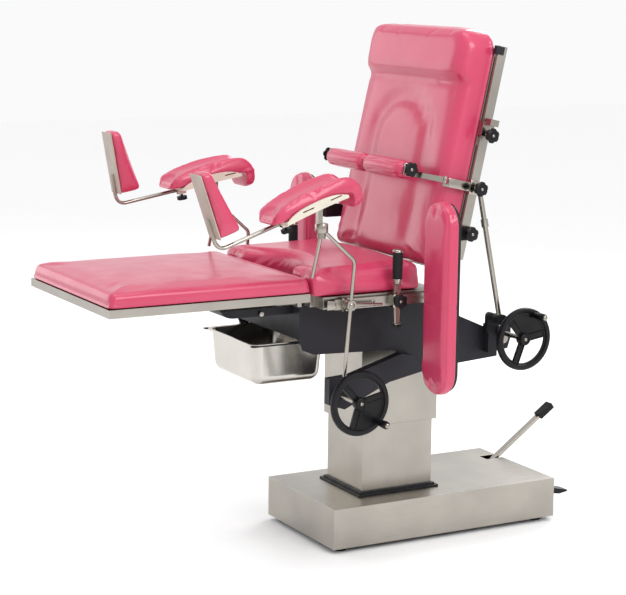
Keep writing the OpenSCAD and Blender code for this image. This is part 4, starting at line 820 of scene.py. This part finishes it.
choose(pan, "edges", lambda edge: all(pan.data.vertices[i].co.z > -1 * mm for i in edge.vertices))
bpy.ops.mesh.extrude_edges_move(TRANSFORM_OT_translate={"value": (0, 0, 1.5 * mm)})
bpy.ops.transform.resize(value=(rim_l / pan_l, rim_w / pan_w, 1), center_override=(0, 0, 0))
bpy.ops.mesh.extrude_edges_move(TRANSFORM_OT_translate={"value": (0, 0, -rim_h)})
bpy.ops.mesh.select_all(action="SELECT")
bpy.ops.mesh.normals_make_consistent(inside=False)
bpy.ops.object.mode_set(mode="OBJECT")
sheet = pan.modifiers.new("sheet", "SOLIDIFY")
sheet.thickness, sheet.offset = sheet_t, 0
soften(pan, 0.4, 2, 50)
pan.data.materials.append(drawn_steel)
joined("deep_drawn_basin", [laid(smooth(pan, 35), table, shift(pan_x, 0, pan_top))], "basin")

# Fittings that the photograph shows on the table top and the back

for side, sign in sides.items():
    end = block((-14, -8, -13), (15, 8, 12), charcoal_coat, 1.5)
    bracket = laid(end, table, shift(212, sign * 297, 1519), about("Y", back_lean))
    joined(side + "_rail_end_bracket", [bracket], body=body_of_node["back_frame"])
    plate = side_block(sign, (-376, 315.5, 779), (-346, 318.6, 805), bar_steel, 0.8)
    joined(side + "_rail_end_plate", [laid(plate, table)], body=body_of_node["side_rails"])
    post = turned([(tip, 664), (4.4, 664), (4.4, 746), (tip, 746)], bar_steel, 24)
    stud = turned([(tip, 0), (4, 0), (4, 4), (7, 5), (8, 8), (7, 11), (tip, 12)], bar_steel, 24)
    joined(side + "_tray_post", [laid(post, table, shift(-388, sign * 146, 0)),
                                 laid(stud, table, shift(-508, sign * 151, 752), outward[side])],
           body=body_of_node["underframe"])
    hub_face = max(abs(v.co.y) for v in nodes[side + "_rod_clamp"].data.vertices) / mm
    screw_place = shift(-310, sign * (hub_face - 0.5), rail_z)
    screw = laid(screw_head(9, 4, bar_steel), table, screw_place, outward[side])
    joined(side + "_clamp_screw", [screw], body=body_of_node[side + "_rod_clamp"])


# Floor and world: matt and a shade off white, so that the table stands on a pale ground

floor = form("plane", size=30)
floor.name = "floor"
pale_floor = plain_finish("pale_studio_floor", ("#FCFCFC", "#FEFEFE"), (0.6, 0.7), 0.02, 0.00001)
floor.data.materials.append(pale_floor)
world = bpy.data.worlds.new("studio")
bpy.context.scene.world = world
world.use_nodes = True
world.node_tree.nodes["Background"].inputs["Color"].default_value = linear("#FAFAFB")
world.node_tree.nodes["Background"].inputs["Strength"].default_value = 1.0
